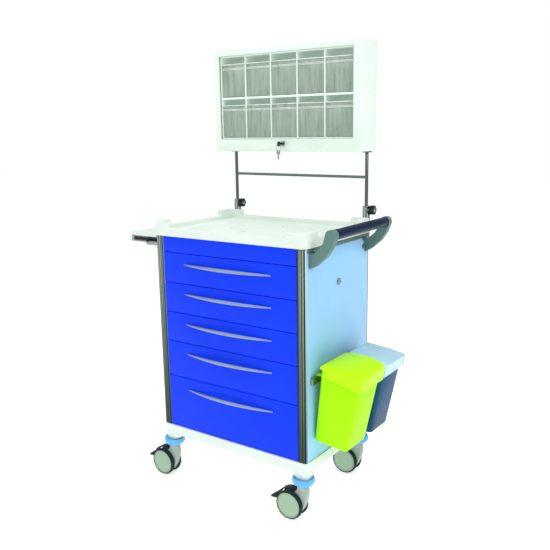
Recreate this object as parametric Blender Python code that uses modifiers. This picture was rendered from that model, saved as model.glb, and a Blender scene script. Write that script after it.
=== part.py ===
"""Crash cart: a drawer trolley on four twin-wheel casters, with a tilt-bin cabinet on an adjustable mast."""

import math

import bmesh
import bpy
from mathutils import Matrix, Vector

# ------------------------------ driving dimensions, metres
GAP = 0.0003              # clearance between pieces that touch
SLIDE_GAP = 0.001         # clearance beside a piece that slides

BODY_W = 0.620            # over the corner columns
BODY_D = 0.420
TOP_Z = 0.918             # underside of the worktop
WHEEL_R = 0.050
HALF_W = BODY_W / 2
HALF_D = BODY_D / 2
COLUMN_W = 0.0316
COLUMN_D = 0.030
GROOVES = [(0.0092, 0.0060), (0.0190, 0.0150)]      # far and near edge of each, from the outer corner
GROOVE_DEEP = 0.0022
PANEL_T = 0.006           # side panel sheet with its folded edge
BACK_T = 0.004

CASTER_OVER = 0.053       # caster's height over its wheel
LEG_LOW = 2 * WHEEL_R + CASTER_OVER                 # underside of the corner legs
BASE_LOW = LEG_LOW + 0.026                          # lower edge of the base's skirt
DECK_Z = LEG_LOW + 0.0606                           # top of the moulded base
BASE_OVER = 0.004         # how far the base stands out past the columns
LEG_SIZE = 0.074
STEM_HOLE = 0.028         # depth of the hole for a caster's stem
TRAY_OVER = 0.007         # how far the worktop stands out past the columns
TRAY_FLOOR = TOP_Z + 0.013
TRAY_RIM = TOP_Z + 0.029
TRAY_HORN = TOP_Z + 0.049                           # top of the raised corners
RIM_W = 0.020
HORN_LEN = 0.074

FASCIA_H = 0.056
UPPER_DRAWERS = [0.108, 0.107, 0.107, 0.1315]       # front heights from the top down
DRAWER_H = UPPER_DRAWERS + [TOP_Z - FASCIA_H - DECK_Z - 0.0005 - sum(UPPER_DRAWERS)]
FRONT_T = 0.018           # thickness of a drawer front
FRONT_GAP = 0.002         # gap round each front
DRAWER_HANDLE_DROP = [0.038, 0.035, 0.037, 0.039, 0.042]
BOX_T = 0.0016
BOX_D = BODY_D - 0.060
RUNNER_ROOM = 0.0169      # between a drawer's box and the columns' inner faces
BOX_W = BODY_W - 2 * (COLUMN_W + RUNNER_ROOM)
DRAWER_TRAVEL = 0.300
HANDLE_HALF = 0.182       # half the length of a drawer handle
HANDLE_BOW = 0.026        # how far its middle stands off the front
HANDLE_MID_H = 0.013
HANDLE_END_H = 0.005

SHELF_OUT = 0.179         # how far the side shelf stands out at rest
SHELF_LEN = 0.400
SHELF_HALF = HALF_D - 0.038
SHELF_TOP = TOP_Z - 0.0085
SHELF_LIP = 0.031
SHELF_ARM = 0.0145        # width of the rails that the shelf slides on

MAST_X = HALF_W - 0.0225  # half the spacing of the two uprights
MAST_Y = HALF_D + 0.023
ROD_R = 0.006
BAR_R = 0.005
BAR_Z = TOP_Z + 0.188
ROD_LOW = TOP_Z - 0.118
SLEEVE_R = 0.013
SLEEVE_LOW = TOP_Z - 0.068
SLEEVE_TOP = TOP_Z + 0.088
KNOB_Z = TOP_Z + 0.074

CAB_SIDE = 0.022          # width of the cabinet frame beside the bins
CAB_W = 2 * (MAST_X + 0.0145)
CAB_LOW = TOP_Z + 0.278
CAB_H = 0.364
CAB_TOP = CAB_LOW + CAB_H
CAB_FRONT = MAST_Y - 0.097
CAB_BACK = MAST_Y + 0.035
CAB_T = 0.003
LOCK_Z = CAB_LOW + 0.028
DOOR_T = 0.0055
BAY_W = (CAB_W - 2 * CAB_SIDE) / 5                  # pitch of the tilt bins
BAY_WALL = 0.005
BAY_DEPTH = 0.112
ROW_H = [0.140, 0.1435]
ROW_LOW = [CAB_LOW + 0.0495, CAB_LOW + 0.1965]      # floors of the two rows
ROW_HIGH = [low + high for low, high in zip(ROW_LOW, ROW_H)]
TILT_H = 0.118            # height of a tilt bin's front wall
TILT_D = 0.094
TILT_REAR = 0.088
TILT_WALL = 0.0025
TILT_PIVOT = 0.004        # the pivot's distance in from the front and the bottom

GRIP_X = HALF_W + 0.075
GRIP_Z = TOP_Z + 0.044
GRIP_R = 0.0155
GRIP_Y = [-HALF_D + 0.032, HALF_D - 0.024]
ARM_T = 0.020

LEAN = math.radians(7.1)  # the waste bins hang with their tops leaning out
WASTE_H = 0.252
WASTE_DEEP = 0.140        # away from the side panel, at the rim
WASTE_DEEP_LOW = 0.120
WASTE_WALL = 0.003
WASTE_WIDE = {"yellow": 0.152, "blue": 0.1435}
WASTE_GAP = 0.0165        # between the two bins
WASTE_MID = -0.0173       # where the middle of that gap lies
WASTE_Y = {
    "yellow": [WASTE_MID - WASTE_GAP / 2 - WASTE_WIDE["yellow"], WASTE_MID - WASTE_GAP / 2],
    "blue": [WASTE_MID + WASTE_GAP / 2, WASTE_MID + WASTE_GAP / 2 + WASTE_WIDE["blue"]],
}
HANG_Z = 0.476
WASTE_PIVOT = [HALF_W + 0.0025, HANG_Z - 0.1895]     # inner bottom edge of a waste bin

STEM_X = HALF_W - 0.025
STEM_Y = HALF_D - 0.020
STEM_R = 0.0056
STEM_TALL = 0.026         # how far a stem reaches into its leg
TRAIL = 0.045             # axle's distance behind the swivel axis
AXLE_Z = WHEEL_R
WHEEL_OUT = 0.028         # outer face of a wheel from the fork's middle
WHEEL_IN = 0.0118
FORK_HALF = 0.0110
AXLE_R = 0.0045
BUMPER_R = 0.0385

# the swept point furthest out on a leaning lid, used to centre the object
LID_T = 0.022
LID_OVER = 0.008
LID_REACH = (WASTE_PIVOT[0] + (WASTE_DEEP + LID_OVER) * math.cos(LEAN)
             + (WASTE_H + 0.0005) * math.sin(LEAN))
LEFT_REACH = HALF_W + SHELF_OUT
FRONT_REACH = HALF_D + HANDLE_BOW
SHIFT = Vector(((LEFT_REACH - LID_REACH) / 2, (FRONT_REACH - CAB_BACK) / 2, 0.0))

# ------------------------------ scene
for old in list(bpy.data.objects):
    bpy.data.objects.remove(old, do_unlink=True)

CART = bpy.data.collections.new("crash_cart")
CUTTERS = bpy.data.collections.new("cutters")
for group in (CART, CUTTERS):
    bpy.context.scene.collection.children.link(group)
CUTTERS.hide_render = True


def material(name, colour, roughness, metallic=0.0, alpha=1.0):
    mat = bpy.data.materials.new(name)
    mat.use_nodes = True
    shader = mat.node_tree.nodes["Principled BSDF"]
    shader.inputs["Base Color"].default_value = (*colour, 1.0)
    shader.inputs["Roughness"].default_value = roughness
    shader.inputs["Metallic"].default_value = metallic
    shader.inputs["Alpha"].default_value = alpha
    mat.diffuse_color = (*colour, alpha)
    return mat


WHITE_ABS = material("white_abs", (0.86, 0.88, 0.86), 0.38)
ALUMINIUM = material("aluminium", (0.70, 0.72, 0.72), 0.32, 1.0)
BLUE_FRONT = material("blue_front", (0.01, 0.06, 0.72), 0.35)
BLUE_PANEL = material("blue_panel", (0.36, 0.66, 0.93), 0.40)
SILVER = material("silver_handle", (0.62, 0.66, 0.70), 0.30, 0.8)
STEEL = material("zinc_steel", (0.60, 0.62, 0.62), 0.40, 0.9)
CHROME = material("chrome", (0.75, 0.76, 0.77), 0.12, 1.0)
GREY_PLASTIC = material("grey_plastic", (0.36, 0.42, 0.40), 0.45)
BLACK_GRIP = material("black_grip", (0.02, 0.03, 0.05), 0.35)
BLACK = material("black_plastic", (0.02, 0.02, 0.02), 0.45)
WHITE_CASE = material("white_case", (0.88, 0.90, 0.88), 0.35)
CLEAR = material("clear_plastic", (0.80, 0.86, 0.86), 0.10, 0.0, 0.35)
YELLOW = material("yellow_plastic", (0.45, 0.95, 0.01), 0.42)
SLATE = material("slate_plastic", (0.04, 0.13, 0.24), 0.42)
PALE_BLUE = material("pale_blue_plastic", (0.62, 0.82, 0.93), 0.25)
CASTER_BODY = material("caster_body", (0.78, 0.82, 0.80), 0.40)
TYRE = material("tyre", (0.03, 0.03, 0.03), 0.60)


ROOT = bpy.data.objects.new("crash_cart_root", None)
ROOT.location = SHIFT
CART.objects.link(ROOT)


def place(obj, mat, at, hidden, smooth):
    """Gives an object its material, its collection and its place in the cart."""
    if mat is not None:
        obj.data.materials.append(mat)
    if smooth:
        obj.data.polygons.foreach_set("use_smooth", [True] * len(obj.data.polygons))
    group = CUTTERS if hidden else CART
    group.objects.link(obj)
    if hidden:
        obj.hide_render = True
        obj.display_type = "WIRE"
    obj.parent = ROOT
    obj.location = at
    return obj


def from_bmesh(name, bm):
    bmesh.ops.recalc_face_normals(bm, faces=bm.faces)
    if bm.calc_volume(signed=True) < 0:
        bmesh.ops.reverse_faces(bm, faces=bm.faces)
    mesh = bpy.data.meshes.new(name)
    bm.to_mesh(mesh)
    bm.free()
    return bpy.data.objects.new(name, mesh)


def move_origin(obj, point):
    """Puts an object's origin on its joint's axis without moving its shape."""
    step = Vector(point) - obj.location
    obj.data.transform(Matrix.Translation(-step))
    obj.location = point
    return obj


def box(name, x, y, z, mat=None, hidden=False, bevel=0.0, segments=1):
    """A block between pairs of coordinates, with its origin in its middle."""
    low = Vector((x[0], y[0], z[0]))
    high = Vector((x[1], y[1], z[1]))
    bm = bmesh.new()
    bmesh.ops.create_cube(bm, size=1.0, matrix=Matrix.Diagonal((*(high - low), 1.0)))
    if bevel:
        bmesh.ops.bevel(bm, geom=list(bm.edges), offset=bevel, segments=segments, profile=0.5, affect="EDGES")
    return place(from_bmesh(name, bm), mat, (low + high) / 2, hidden, False)


TURNED_TO = {
    "x": Matrix(((0, 0, 1), (1, 0, 0), (0, 1, 0))).to_4x4(),
    "y": Matrix(((1, 0, 0), (0, 0, -1), (0, 1, 0))).to_4x4(),
    "z": Matrix.Identity(4),
}


def prism(name, outline, axis, span, mat=None, hidden=False, smooth=False):
    """A flat filled outline in the two other axes, extruded along one axis between two coordinates."""
    curve = bpy.data.curves.new(name + "_outline", "CURVE")
    curve.dimensions = "2D"
    curve.fill_mode = "BOTH"
    curve.extrude = abs(span[1] - span[0]) / 2
    spline = curve.splines.new("POLY")
    spline.points.add(len(outline) - 1)
    for point, (a, b) in zip(spline.points, outline):
        point.co = (a, b, 0.0, 1.0)
    spline.use_cyclic_u = True
    guide = bpy.data.objects.new(name + "_outline", curve)
    CUTTERS.objects.link(guide)
    graph = bpy.context.evaluated_depsgraph_get()
    mesh = bpy.data.meshes.new_from_object(guide.evaluated_get(graph))
    bpy.data.objects.remove(guide, do_unlink=True)
    bm = bmesh.new()
    bm.from_mesh(mesh)
    bpy.data.meshes.remove(mesh)
    bmesh.ops.remove_doubles(bm, verts=bm.verts, dist=1e-6)
    bm.transform(TURNED_TO[axis])
    middle = (span[0] + span[1]) / 2
    at = {"x": (middle, 0, 0), "y": (0, middle, 0), "z": (0, 0, middle)}[axis]
    return place(from_bmesh(name, bm), mat, at, hidden, smooth)


def lathe(name, profile, steps, centre, turn="z", mat=None, hidden=False):
    """A profile of (radius, height) turned by a Screw modifier; both its ends lie on the axis."""
    if profile[0][1] < profile[-1][1]:
        profile = profile[::-1]
    mesh = bpy.data.meshes.new(name)
    edges = [(i, i + 1) for i in range(len(profile) - 1)]
    mesh.from_pydata([(r, 0.0, h) for r, h in profile], edges, [])
    obj = place(bpy.data.objects.new(name, mesh), mat, centre, hidden, False)
    obj.rotation_euler = {"z": (0, 0, 0), "y": (-math.pi / 2, 0, 0), "x": (0, math.pi / 2, 0)}[turn]
    screw = obj.modifiers.new("turned", "SCREW")
    screw.steps = steps
    screw.render_steps = steps
    screw.use_merge_vertices = True
    screw.merge_threshold = 0.00001
    screw.use_smooth_shade = True
    return obj


def rod(name, r, steps, low, high, turn="z", mat=None, hidden=False):
    """A plain round bar from one point to another along an axis."""
    length = (Vector(high) - Vector(low)).length
    bm = bmesh.new()
    bmesh.ops.create_cone(bm, cap_ends=True, segments=steps, radius1=r, radius2=r, depth=length)
    spin = {"z": Matrix.Identity(4), "y": Matrix.Rotation(math.pi / 2, 4, "X"),
            "x": Matrix.Rotation(math.pi / 2, 4, "Y")}[turn]
    bm.transform(spin)
    return place(from_bmesh(name, bm), mat, (Vector(low) + Vector(high)) / 2, hidden, False)


def boolean(target, other, operation):
    mod = target.modifiers.new(operation.lower() + "_" + other.name, "BOOLEAN")
    mod.operation = operation
    mod.solver = "EXACT"
    mod.object = other
    return target


def cut(target, other):
    return boolean(target, other, "DIFFERENCE")


def weld(target, other):
    return boolean(target, other, "UNION")


def rounded(x0, x1, y0, y1, radius, steps):
    """Corner points of a rectangle with round corners."""
    points = []
    for cx, cy, start in ((x1 - radius, y1 - radius, 0), (x0 + radius, y1 - radius, 90),
                          (x0 + radius, y0 + radius, 180), (x1 - radius, y0 + radius, 270)):
        for i in range(steps + 1):
            a = math.radians(start + 90 * i / steps)
            points.append((cx + radius * math.cos(a), cy + radius * math.sin(a)))
    return points


SIDES = {"left": -1, "right": 1}

# ------------------------------ moulded base
base_w = HALF_W + BASE_OVER
base_d = HALF_D + BASE_OVER
base = prism("base_frame", rounded(-base_w, base_w, -base_d, base_d, 0.024, 4), "z",
             (BASE_LOW, DECK_Z), WHITE_ABS)
cut(base, box("base_hollow", (-base_w + 0.006, base_w - 0.006), (-base_d + 0.006, base_d - 0.006),
              (LEG_LOW - 0.010, DECK_Z - 0.008), hidden=True))
for sx in (-1, 1):
    for sy in (-1, 1):
        outer_x = base_w - 0.0005
        outer_y = base_d - 0.0005
        xs = sorted((sx * outer_x, sx * (outer_x - LEG_SIZE)))
        ys = sorted((sy * outer_y, sy * (outer_y - LEG_SIZE)))
        leg = prism(f"leg_{sx}_{sy}", rounded(*xs, *ys, 0.0235, 4), "z", (LEG_LOW, DECK_Z - 0.004),
                    hidden=True)
        weld(base, leg)
        cut(base, rod(f"stem_hole_{sx}_{sy}", STEM_R + 0.0004, 16,
                      (sx * STEM_X, sy * STEM_Y, LEG_LOW - 0.010),
                      (sx * STEM_X, sy * STEM_Y, LEG_LOW + STEM_HOLE), hidden=True))

# ------------------------------ corner columns, aluminium extrusions
# front right column's section: the outer corner is round and the two grooves face the front
rebate = PANEL_T + 2 * GAP
for x_name, sx in SIDES.items():
    for y_name, sy in (("front", -1), ("rear", 1)):
        x1 = HALF_W
        x0 = HALF_W - COLUMN_W
        y1 = HALF_D
        y0 = HALF_D - COLUMN_D
        corner = [(x1, y1 - 0.006), (x1 - 0.0006, y1 - 0.0034), (x1 - 0.0022, y1 - 0.0014),
                  (x1 - 0.005, y1 - 0.0002)]
        groove = []
        for far, near in GROOVES:
            groove += [(x1 - near, y1), (x1 - near - 0.0004, y1 - GROOVE_DEEP),
                       (x1 - far + 0.0004, y1 - GROOVE_DEEP), (x1 - far, y1)]
        section = corner + groove + [(x0, y1), (x0, y0), (x1 - rebate, y0), (x1 - rebate, y1 - 0.0065)]
        section = [(sx * a, sy * b) for a, b in section]
        prism(f"column_{y_name}_{x_name}", section, "z", (DECK_Z + GAP, TOP_Z - GAP), ALUMINIUM)

# ------------------------------ side and back panels
panel_y = HALF_D - 0.0065 - GAP
# the left panel stops lower, which leaves room for the side shelf
PANEL_TOP = {"left": SHELF_TOP - SHELF_LIP - 0.0085, "right": TOP_Z - GAP}
for x_name, sx in SIDES.items():
    xs = sorted((sx * (HALF_W - 0.0002), sx * (HALF_W - rebate + GAP)))
    box(f"side_panel_{x_name}", xs, (-panel_y, panel_y), (DECK_Z + GAP, PANEL_TOP[x_name]), BLUE_PANEL)
back_w = HALF_W - COLUMN_W - GAP
back = box("back_panel", (-back_w, back_w), (HALF_D - 0.012, HALF_D - 0.012 + BACK_T),
           (DECK_Z + GAP, TOP_Z - GAP), WHITE_CASE)

# ------------------------------ worktop tray with raised corners
tray_w = HALF_W + TRAY_OVER
tray_d = HALF_D + TRAY_OVER
tray = prism("worktop", rounded(-tray_w, tray_w, -tray_d, tray_d, 0.028, 5), "z", (TOP_Z, TRAY_RIM),
             WHITE_ABS)
for sx in (-1, 1):
    for sy in (-1, 1):
        out_x = tray_w - 0.0004
        out_y = tray_d - 0.0004
        outline = [(tray_w - HORN_LEN, tray_d - HORN_LEN), (out_x, tray_d - HORN_LEN)]
        for i in range(6):
            a = math.radians(90 * i / 5)
            outline.append((out_x - 0.0276 * (1 - math.cos(a)), out_y - 0.0276 * (1 - math.sin(a))))
        outline.append((tray_w - HORN_LEN, out_y))
        horn = prism(f"horn_{sx}_{sy}", [(sx * a, sy * b) for a, b in outline], "z",
                     (TOP_Z + 0.004, TRAY_HORN), hidden=True)
        weld(tray, horn)
well = prism("tray_well", rounded(-tray_w + RIM_W, tray_w - RIM_W, -tray_d + RIM_W, tray_d - RIM_W, 0.026, 5),
             "z", (TRAY_FLOOR, TRAY_HORN + 0.030), hidden=True)
cut(tray, well)

# ------------------------------ fascia under the worktop
front_w = HALF_W - COLUMN_W - 0.0012
front_y = (-HALF_D, -HALF_D + FRONT_T)
fascia_low = TOP_Z - FASCIA_H + FRONT_GAP / 2
box("fascia", (-front_w, front_w), front_y, (fascia_low, TOP_Z - GAP), BLUE_FRONT, bevel=0.0015)

# ------------------------------ drawers with their runners and handles
PLATE_X = HALF_W - COLUMN_W - GAP        # outer face of a runner plate
PLATE_T = 0.0036
RAIL_IN = 0.0125
RAIL_T = 0.004
box_half = BOX_W / 2
rail_heights = []
top = TOP_Z - FASCIA_H
for number, height in enumerate(DRAWER_H, 1):
    bottom = top - height
    low = bottom + FRONT_GAP / 2
    high = top - FRONT_GAP / 2
    name = f"drawer_{number}"
    drawer = box(name, (-front_w, front_w), front_y, (low, high), BLUE_FRONT, bevel=0.0015)
    box_low = low + 0.012
    box_high = high - 0.022
    tub = box(name + "_box", (-box_half, box_half), (-HALF_D + FRONT_T - 0.004, -HALF_D + FRONT_T + BOX_D),
              (box_low, box_high), hidden=True)
    weld(drawer, tub)
    cut(drawer, box(name + "_well", (-box_half + BOX_T, box_half - BOX_T),
                    (-HALF_D + FRONT_T, -HALF_D + FRONT_T + BOX_D - BOX_T),
                    (box_low + BOX_T, box_high + 0.05), hidden=True))
    rail = box_low + 0.018
    rail_heights.append(rail)
    for sx in (-1, 1):
        xs = sorted((sx * (box_half - 0.0008), sx * (box_half + 0.0105)))
        runner_y = (-HALF_D + FRONT_T + 0.010, -HALF_D + FRONT_T + BOX_D - 0.006)
        weld(drawer, box(f"{name}_runner_{sx}", xs, runner_y,
                         (rail + RAIL_T + GAP, rail + RAIL_T + GAP + 0.009), hidden=True))
    # a crescent: thin ends let into the front, thick middle standing off it
    z = top - DRAWER_HANDLE_DROP[number - 1]
    bm = bmesh.new()
    rings = []
    stations = 12
    for i in range(stations + 1):
        t = -1 + 2 * i / stations
        swell = 1 - t * t
        x = HANDLE_HALF * t
        outer = HALF_D + 0.004 + (HANDLE_BOW - 0.004) * swell
        inner = HALF_D + GAP + (HANDLE_BOW - 0.0085) * max(0.0, swell - 0.10) / 0.90
        half = (HANDLE_END_H + (HANDLE_MID_H - HANDLE_END_H) * swell) / 2
        section = [(outer - 0.002, -half), (outer, -half * 0.4), (outer, half * 0.4), (outer - 0.002, half),
                   (inner, half * 0.9), (inner, -half * 0.9)]
        rings.append([bm.verts.new((x, -a, z + b)) for a, b in section])
    for first, second in zip(rings, rings[1:]):
        for i in range(6):
            j = (i + 1) % 6
            bm.faces.new((first[i], first[j], second[j], second[i]))
    bm.faces.new(rings[0])
    bm.faces.new(rings[-1])
    place(from_bmesh(f"{name}_handle", bm), SILVER, (0, 0, 0), False, False)
    top = top - height

# ------------------------------ runner plates inside the columns
SHELF_RAIL_Z = SHELF_TOP - SHELF_LIP
for x_name, sx in SIDES.items():
    xs = sorted((sx * PLATE_X, sx * (PLATE_X - PLATE_T)))
    frame = box(f"runner_frame_{x_name}", xs, (-HALF_D + FRONT_T + 0.003, HALF_D - 0.014),
                (DECK_Z + GAP, TOP_Z - 0.060), STEEL)
    for number, rail in enumerate(rail_heights, 1):
        rail_x = sorted((sx * (PLATE_X - 0.001), sx * (PLATE_X - PLATE_T - 0.0110)))
        weld(frame, box(f"rail_{x_name}_{number}", rail_x, (-HALF_D + FRONT_T + 0.004, HALF_D - 0.020),
                        (rail, rail + RAIL_T), hidden=True))
    if sx < 0:
        for sy in (-1, 1):
            arm_y = sorted((sy * (SHELF_HALF - 0.012), sy * (SHELF_HALF - 0.012 + SHELF_ARM)))
            weld(frame, box(f"shelf_arm_{sy}", (-PLATE_X + 0.0005, SHELF_LEN - 0.305), arm_y,
                            (SHELF_RAIL_Z - 0.0075, SHELF_RAIL_Z - GAP), hidden=True))
            weld(frame, box(f"shelf_post_{sy}", (-PLATE_X + 0.0005, -PLATE_X + PLATE_T - 0.0005), arm_y,
                            (TOP_Z - 0.068, SHELF_RAIL_Z - 0.001), hidden=True))

# ------------------------------ pull-out side shelf and its slides
shelf_end = -HALF_W - SHELF_OUT
shelf = box("side_shelf", (shelf_end + 0.010, shelf_end + SHELF_LEN),
            (-SHELF_HALF + 0.010, SHELF_HALF - 0.010), (SHELF_TOP - 0.010, SHELF_TOP), WHITE_ABS)
weld(shelf, box("shelf_lip", (shelf_end, shelf_end + 0.018), (-SHELF_HALF, SHELF_HALF),
                (SHELF_TOP - SHELF_LIP, SHELF_TOP + 0.0004), hidden=True, bevel=0.002))
for sy in (-1, 1):
    ys = sorted((sy * (SHELF_HALF - 0.0002), sy * (SHELF_HALF - 0.0115)))
    weld(shelf, box(f"shelf_slide_{sy}", (shelf_end + 0.012, shelf_end + SHELF_LEN - 0.004), ys,
                    (SHELF_TOP - SHELF_LIP + 0.001, SHELF_TOP - 0.001), hidden=True))
    groove_y = sorted((sy * (SHELF_HALF + 0.002), sy * (SHELF_HALF - 0.004)))
    cut(shelf, box(f"slide_groove_{sy}", (shelf_end + 0.022, shelf_end + SHELF_LEN + 0.01), groove_y,
                   (SHELF_TOP - 0.0235, SHELF_TOP - 0.0095), hidden=True))

# ------------------------------ push handle on the right
arm_shape = [(GAP, -0.064), (0.022, -0.054), (0.062, -0.018), (0.078, 0.007), (0.0825, 0.0255),
             (0.0675, 0.0260), (0.054, 0.0265), (0.048, 0.012), (0.035, -0.006), (0.017, -0.018),
             (GAP, -0.023)]
arm_profile = [(HALF_W + out, TOP_Z + up) for out, up in arm_shape]
for label, y in (("front", GRIP_Y[0]), ("rear", GRIP_Y[1])):
    arm = prism(f"handle_bracket_{label}", arm_profile, "y",
                (y - ARM_T / 2, y + ARM_T / 2), GREY_PLASTIC)
    collar = rod(f"collar_{label}", GRIP_R + 0.0035, 20, (GRIP_X, y - ARM_T / 2 - 0.0010, GRIP_Z),
                 (GRIP_X, y + ARM_T / 2 + 0.0010, GRIP_Z), "y", hidden=True)
    weld(arm, collar)
    cut(arm, rod(f"collar_bore_{label}", GRIP_R + GAP, 20, (GRIP_X, y - 0.05, GRIP_Z),
                 (GRIP_X, y + 0.05, GRIP_Z), "y", hidden=True))
rod("grip", GRIP_R, 20, (GRIP_X, GRIP_Y[0] - 0.014, GRIP_Z), (GRIP_X, GRIP_Y[1] + 0.014, GRIP_Z),
    "y", BLACK_GRIP)

# ------------------------------ mast clamps on the rear columns
for x_name, sx in SIDES.items():
    x = sx * MAST_X
    clamp = rod(f"clamp_{x_name}", SLEEVE_R, 20, (x, MAST_Y, SLEEVE_LOW), (x, MAST_Y, SLEEVE_TOP),
                "z", CHROME)
    weld(clamp, box(f"foot_{x_name}", (x - 0.0125, x + 0.0125), (HALF_D + GAP, MAST_Y),
                    (SLEEVE_LOW + 0.004, TOP_Z - 0.012), hidden=True))
    weld(clamp, rod(f"boss_{x_name}", 0.007, 12, (x + 0.004, MAST_Y, KNOB_Z),
                    (x + SLEEVE_R + 0.0035, MAST_Y, KNOB_Z), "x", hidden=True))
    cut(clamp, rod(f"sleeve_bore_{x_name}", ROD_R + GAP, 20, (x, MAST_Y, ROD_LOW), (x, MAST_Y, BAR_Z - 0.056),
                   hidden=True))
    # lobed knob on the clamp screw
    lobes = []
    for i in range(24):
        a = 2 * math.pi * i / 24
        r = 0.0150 + 0.0022 * math.cos(6 * a)
        lobes.append((r * math.cos(a), r * math.sin(a)))
    knob_x = x + SLEEVE_R + 0.0035 + GAP
    knob = prism(f"clamp_knob_{x_name}", lobes, "x", (knob_x, knob_x + 0.014), BLACK)
    knob.location = (knob_x + 0.007, MAST_Y, KNOB_Z)

# ------------------------------ mast: two uprights, crossbar and flanges
mast = rod("mast_frame", ROD_R, 20, (-MAST_X, MAST_Y, ROD_LOW), (-MAST_X, MAST_Y, CAB_LOW - 0.0015),
           "z", CHROME)
weld(mast, rod("upright_right", ROD_R, 20, (MAST_X, MAST_Y, ROD_LOW), (MAST_X, MAST_Y, CAB_LOW - 0.0015),
               hidden=True))
weld(mast, rod("crossbar", BAR_R, 16, (-MAST_X, MAST_Y, BAR_Z), (MAST_X, MAST_Y, BAR_Z), "x", hidden=True))
for x_name, sx in SIDES.items():
    x = sx * MAST_X
    weld(mast, box(f"flange_{x_name}", (x - 0.013, x + 0.013), (MAST_Y - 0.015, MAST_Y + 0.015),
                   (CAB_LOW - 0.0040, CAB_LOW - GAP), hidden=True))

# ------------------------------ cabinet housing: a steel case round two rows of bays
cab_half = CAB_W / 2
case_front = CAB_FRONT + DOOR_T + GAP
case = box("cabinet_housing", (-cab_half, cab_half), (case_front, CAB_BACK), (CAB_LOW, CAB_TOP), WHITE_CASE)
rack_half = 2.5 * BAY_W
rack_wall = 0.004
pocket_y = (case_front - 0.01, CAB_BACK - CAB_T)
cut(case, box("void_bottom", (-cab_half + CAB_T, cab_half - CAB_T), (case_front + CAB_T, CAB_BACK - CAB_T),
              (CAB_LOW + CAB_T, ROW_LOW[0] - rack_wall), hidden=True))
# the lip left along the bottom is what the lock's cam turns down behind
cut(case, box("void_mouth", (-cab_half + CAB_T, cab_half - CAB_T),
              (case_front - 0.01, case_front + CAB_T + 0.001),
              (CAB_LOW + 0.012, ROW_LOW[0] - rack_wall), hidden=True))
cut(case, box("void_top", (-cab_half + CAB_T, cab_half - CAB_T), pocket_y,
              (ROW_HIGH[1] + rack_wall, CAB_TOP - CAB_T), hidden=True))
for sx in (-1, 1):
    xs = sorted((sx * (cab_half - CAB_T), sx * (rack_half + rack_wall)))
    cut(case, box(f"void_side_{sx}", xs, pocket_y, (ROW_LOW[0], ROW_HIGH[1]), hidden=True))
cut(case, box("rack_recess", (-rack_half - 0.001, rack_half + 0.001), (case_front - 0.01, case_front + 0.004),
              (ROW_LOW[0] - 0.001, ROW_HIGH[1] + 0.001), hidden=True))
bay_y = (case_front - 0.01, case_front + BAY_DEPTH)
half_wall = BAY_WALL / 2
for row in range(2):
    for column in range(5):
        x = (column - 2) * BAY_W
        cut(case, box(f"bay_{row}_{column}", (x - BAY_W / 2 + half_wall, x + BAY_W / 2 - half_wall), bay_y,
                      (ROW_LOW[row], ROW_HIGH[row]), hidden=True))

# ------------------------------ cabinet's front frame, hung from its top edge
door = box("cabinet_door", (-cab_half, cab_half), (CAB_FRONT, CAB_FRONT + DOOR_T), (CAB_LOW, CAB_TOP),
           WHITE_CASE, bevel=0.0012)
cut(door, box("door_window", (-rack_half, rack_half), (CAB_FRONT - 0.01, CAB_FRONT + 0.02),
              (ROW_LOW[0], ROW_HIGH[1]), hidden=True))
move_origin(door, (0, CAB_FRONT + DOOR_T, CAB_TOP))
cut(door, rod("lock_hole", 0.0085, 20, (0, CAB_FRONT - 0.01, LOCK_Z), (0, CAB_FRONT + 0.02, LOCK_Z),
              "y", hidden=True))

# barrel, key in it, and the cam behind
barrel = [(0, -0.0035), (0.0100, -0.0035), (0.0100, -GAP), (0.0082, -GAP), (0.0082, 0.016), (0, 0.016)]
lock = lathe("cabinet_lock", barrel, 20, (0, CAB_FRONT, LOCK_Z), "y", CHROME)
weld(lock, box("key_blade", (-0.0011, 0.0011), (CAB_FRONT - 0.020, CAB_FRONT - 0.002),
               (LOCK_Z - 0.0035, LOCK_Z + 0.0035), hidden=True))
weld(lock, box("key_head", (-0.0013, 0.0013), (CAB_FRONT - 0.034, CAB_FRONT - 0.0185),
               (LOCK_Z - 0.0100, LOCK_Z + 0.0080), hidden=True))
weld(lock, box("lock_cam", (-0.0050, 0.0200), (CAB_FRONT + 0.0125, CAB_FRONT + 0.0150),
               (LOCK_Z - 0.0050, LOCK_Z + 0.0050), hidden=True))

# ------------------------------ tilt bins, each turning on its lower front edge
bin_half = BAY_W / 2 - half_wall - SLIDE_GAP
for row in range(2):
    for column in range(5):
        x = (column - 2) * BAY_W
        name = f"tilt_bin_{'lower' if row == 0 else 'upper'}_{column + 1}"
        y0 = case_front + 0.0045
        z0 = ROW_LOW[row] + 0.0010
        side = [(y0 + 0.002, z0), (y0 + TILT_D, z0 + 0.003), (y0 + TILT_D, z0 + TILT_REAR), (y0, z0 + TILT_H),
                (y0 - 0.0045, z0 + TILT_H), (y0 - 0.0045, z0 + TILT_H - 0.003), (y0, z0 + TILT_H - 0.016),
                (y0, z0 + 0.003)]
        tilt = prism(name, side, "x", (x - bin_half, x + bin_half), CLEAR)
        hollow = [(y0 + TILT_WALL, z0 + TILT_WALL), (y0 + TILT_D - TILT_WALL, z0 + TILT_WALL + 0.003),
                  (y0 + TILT_D - TILT_WALL, z0 + TILT_REAR + 0.05), (y0 + TILT_WALL, z0 + TILT_H + 0.05)]
        cut(tilt, prism(name + "_hollow", hollow, "x", (x - bin_half + TILT_WALL, x + bin_half - TILT_WALL),
                        hidden=True))
        move_origin(tilt, (x, y0 + TILT_PIVOT, z0 + TILT_PIVOT))

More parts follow.
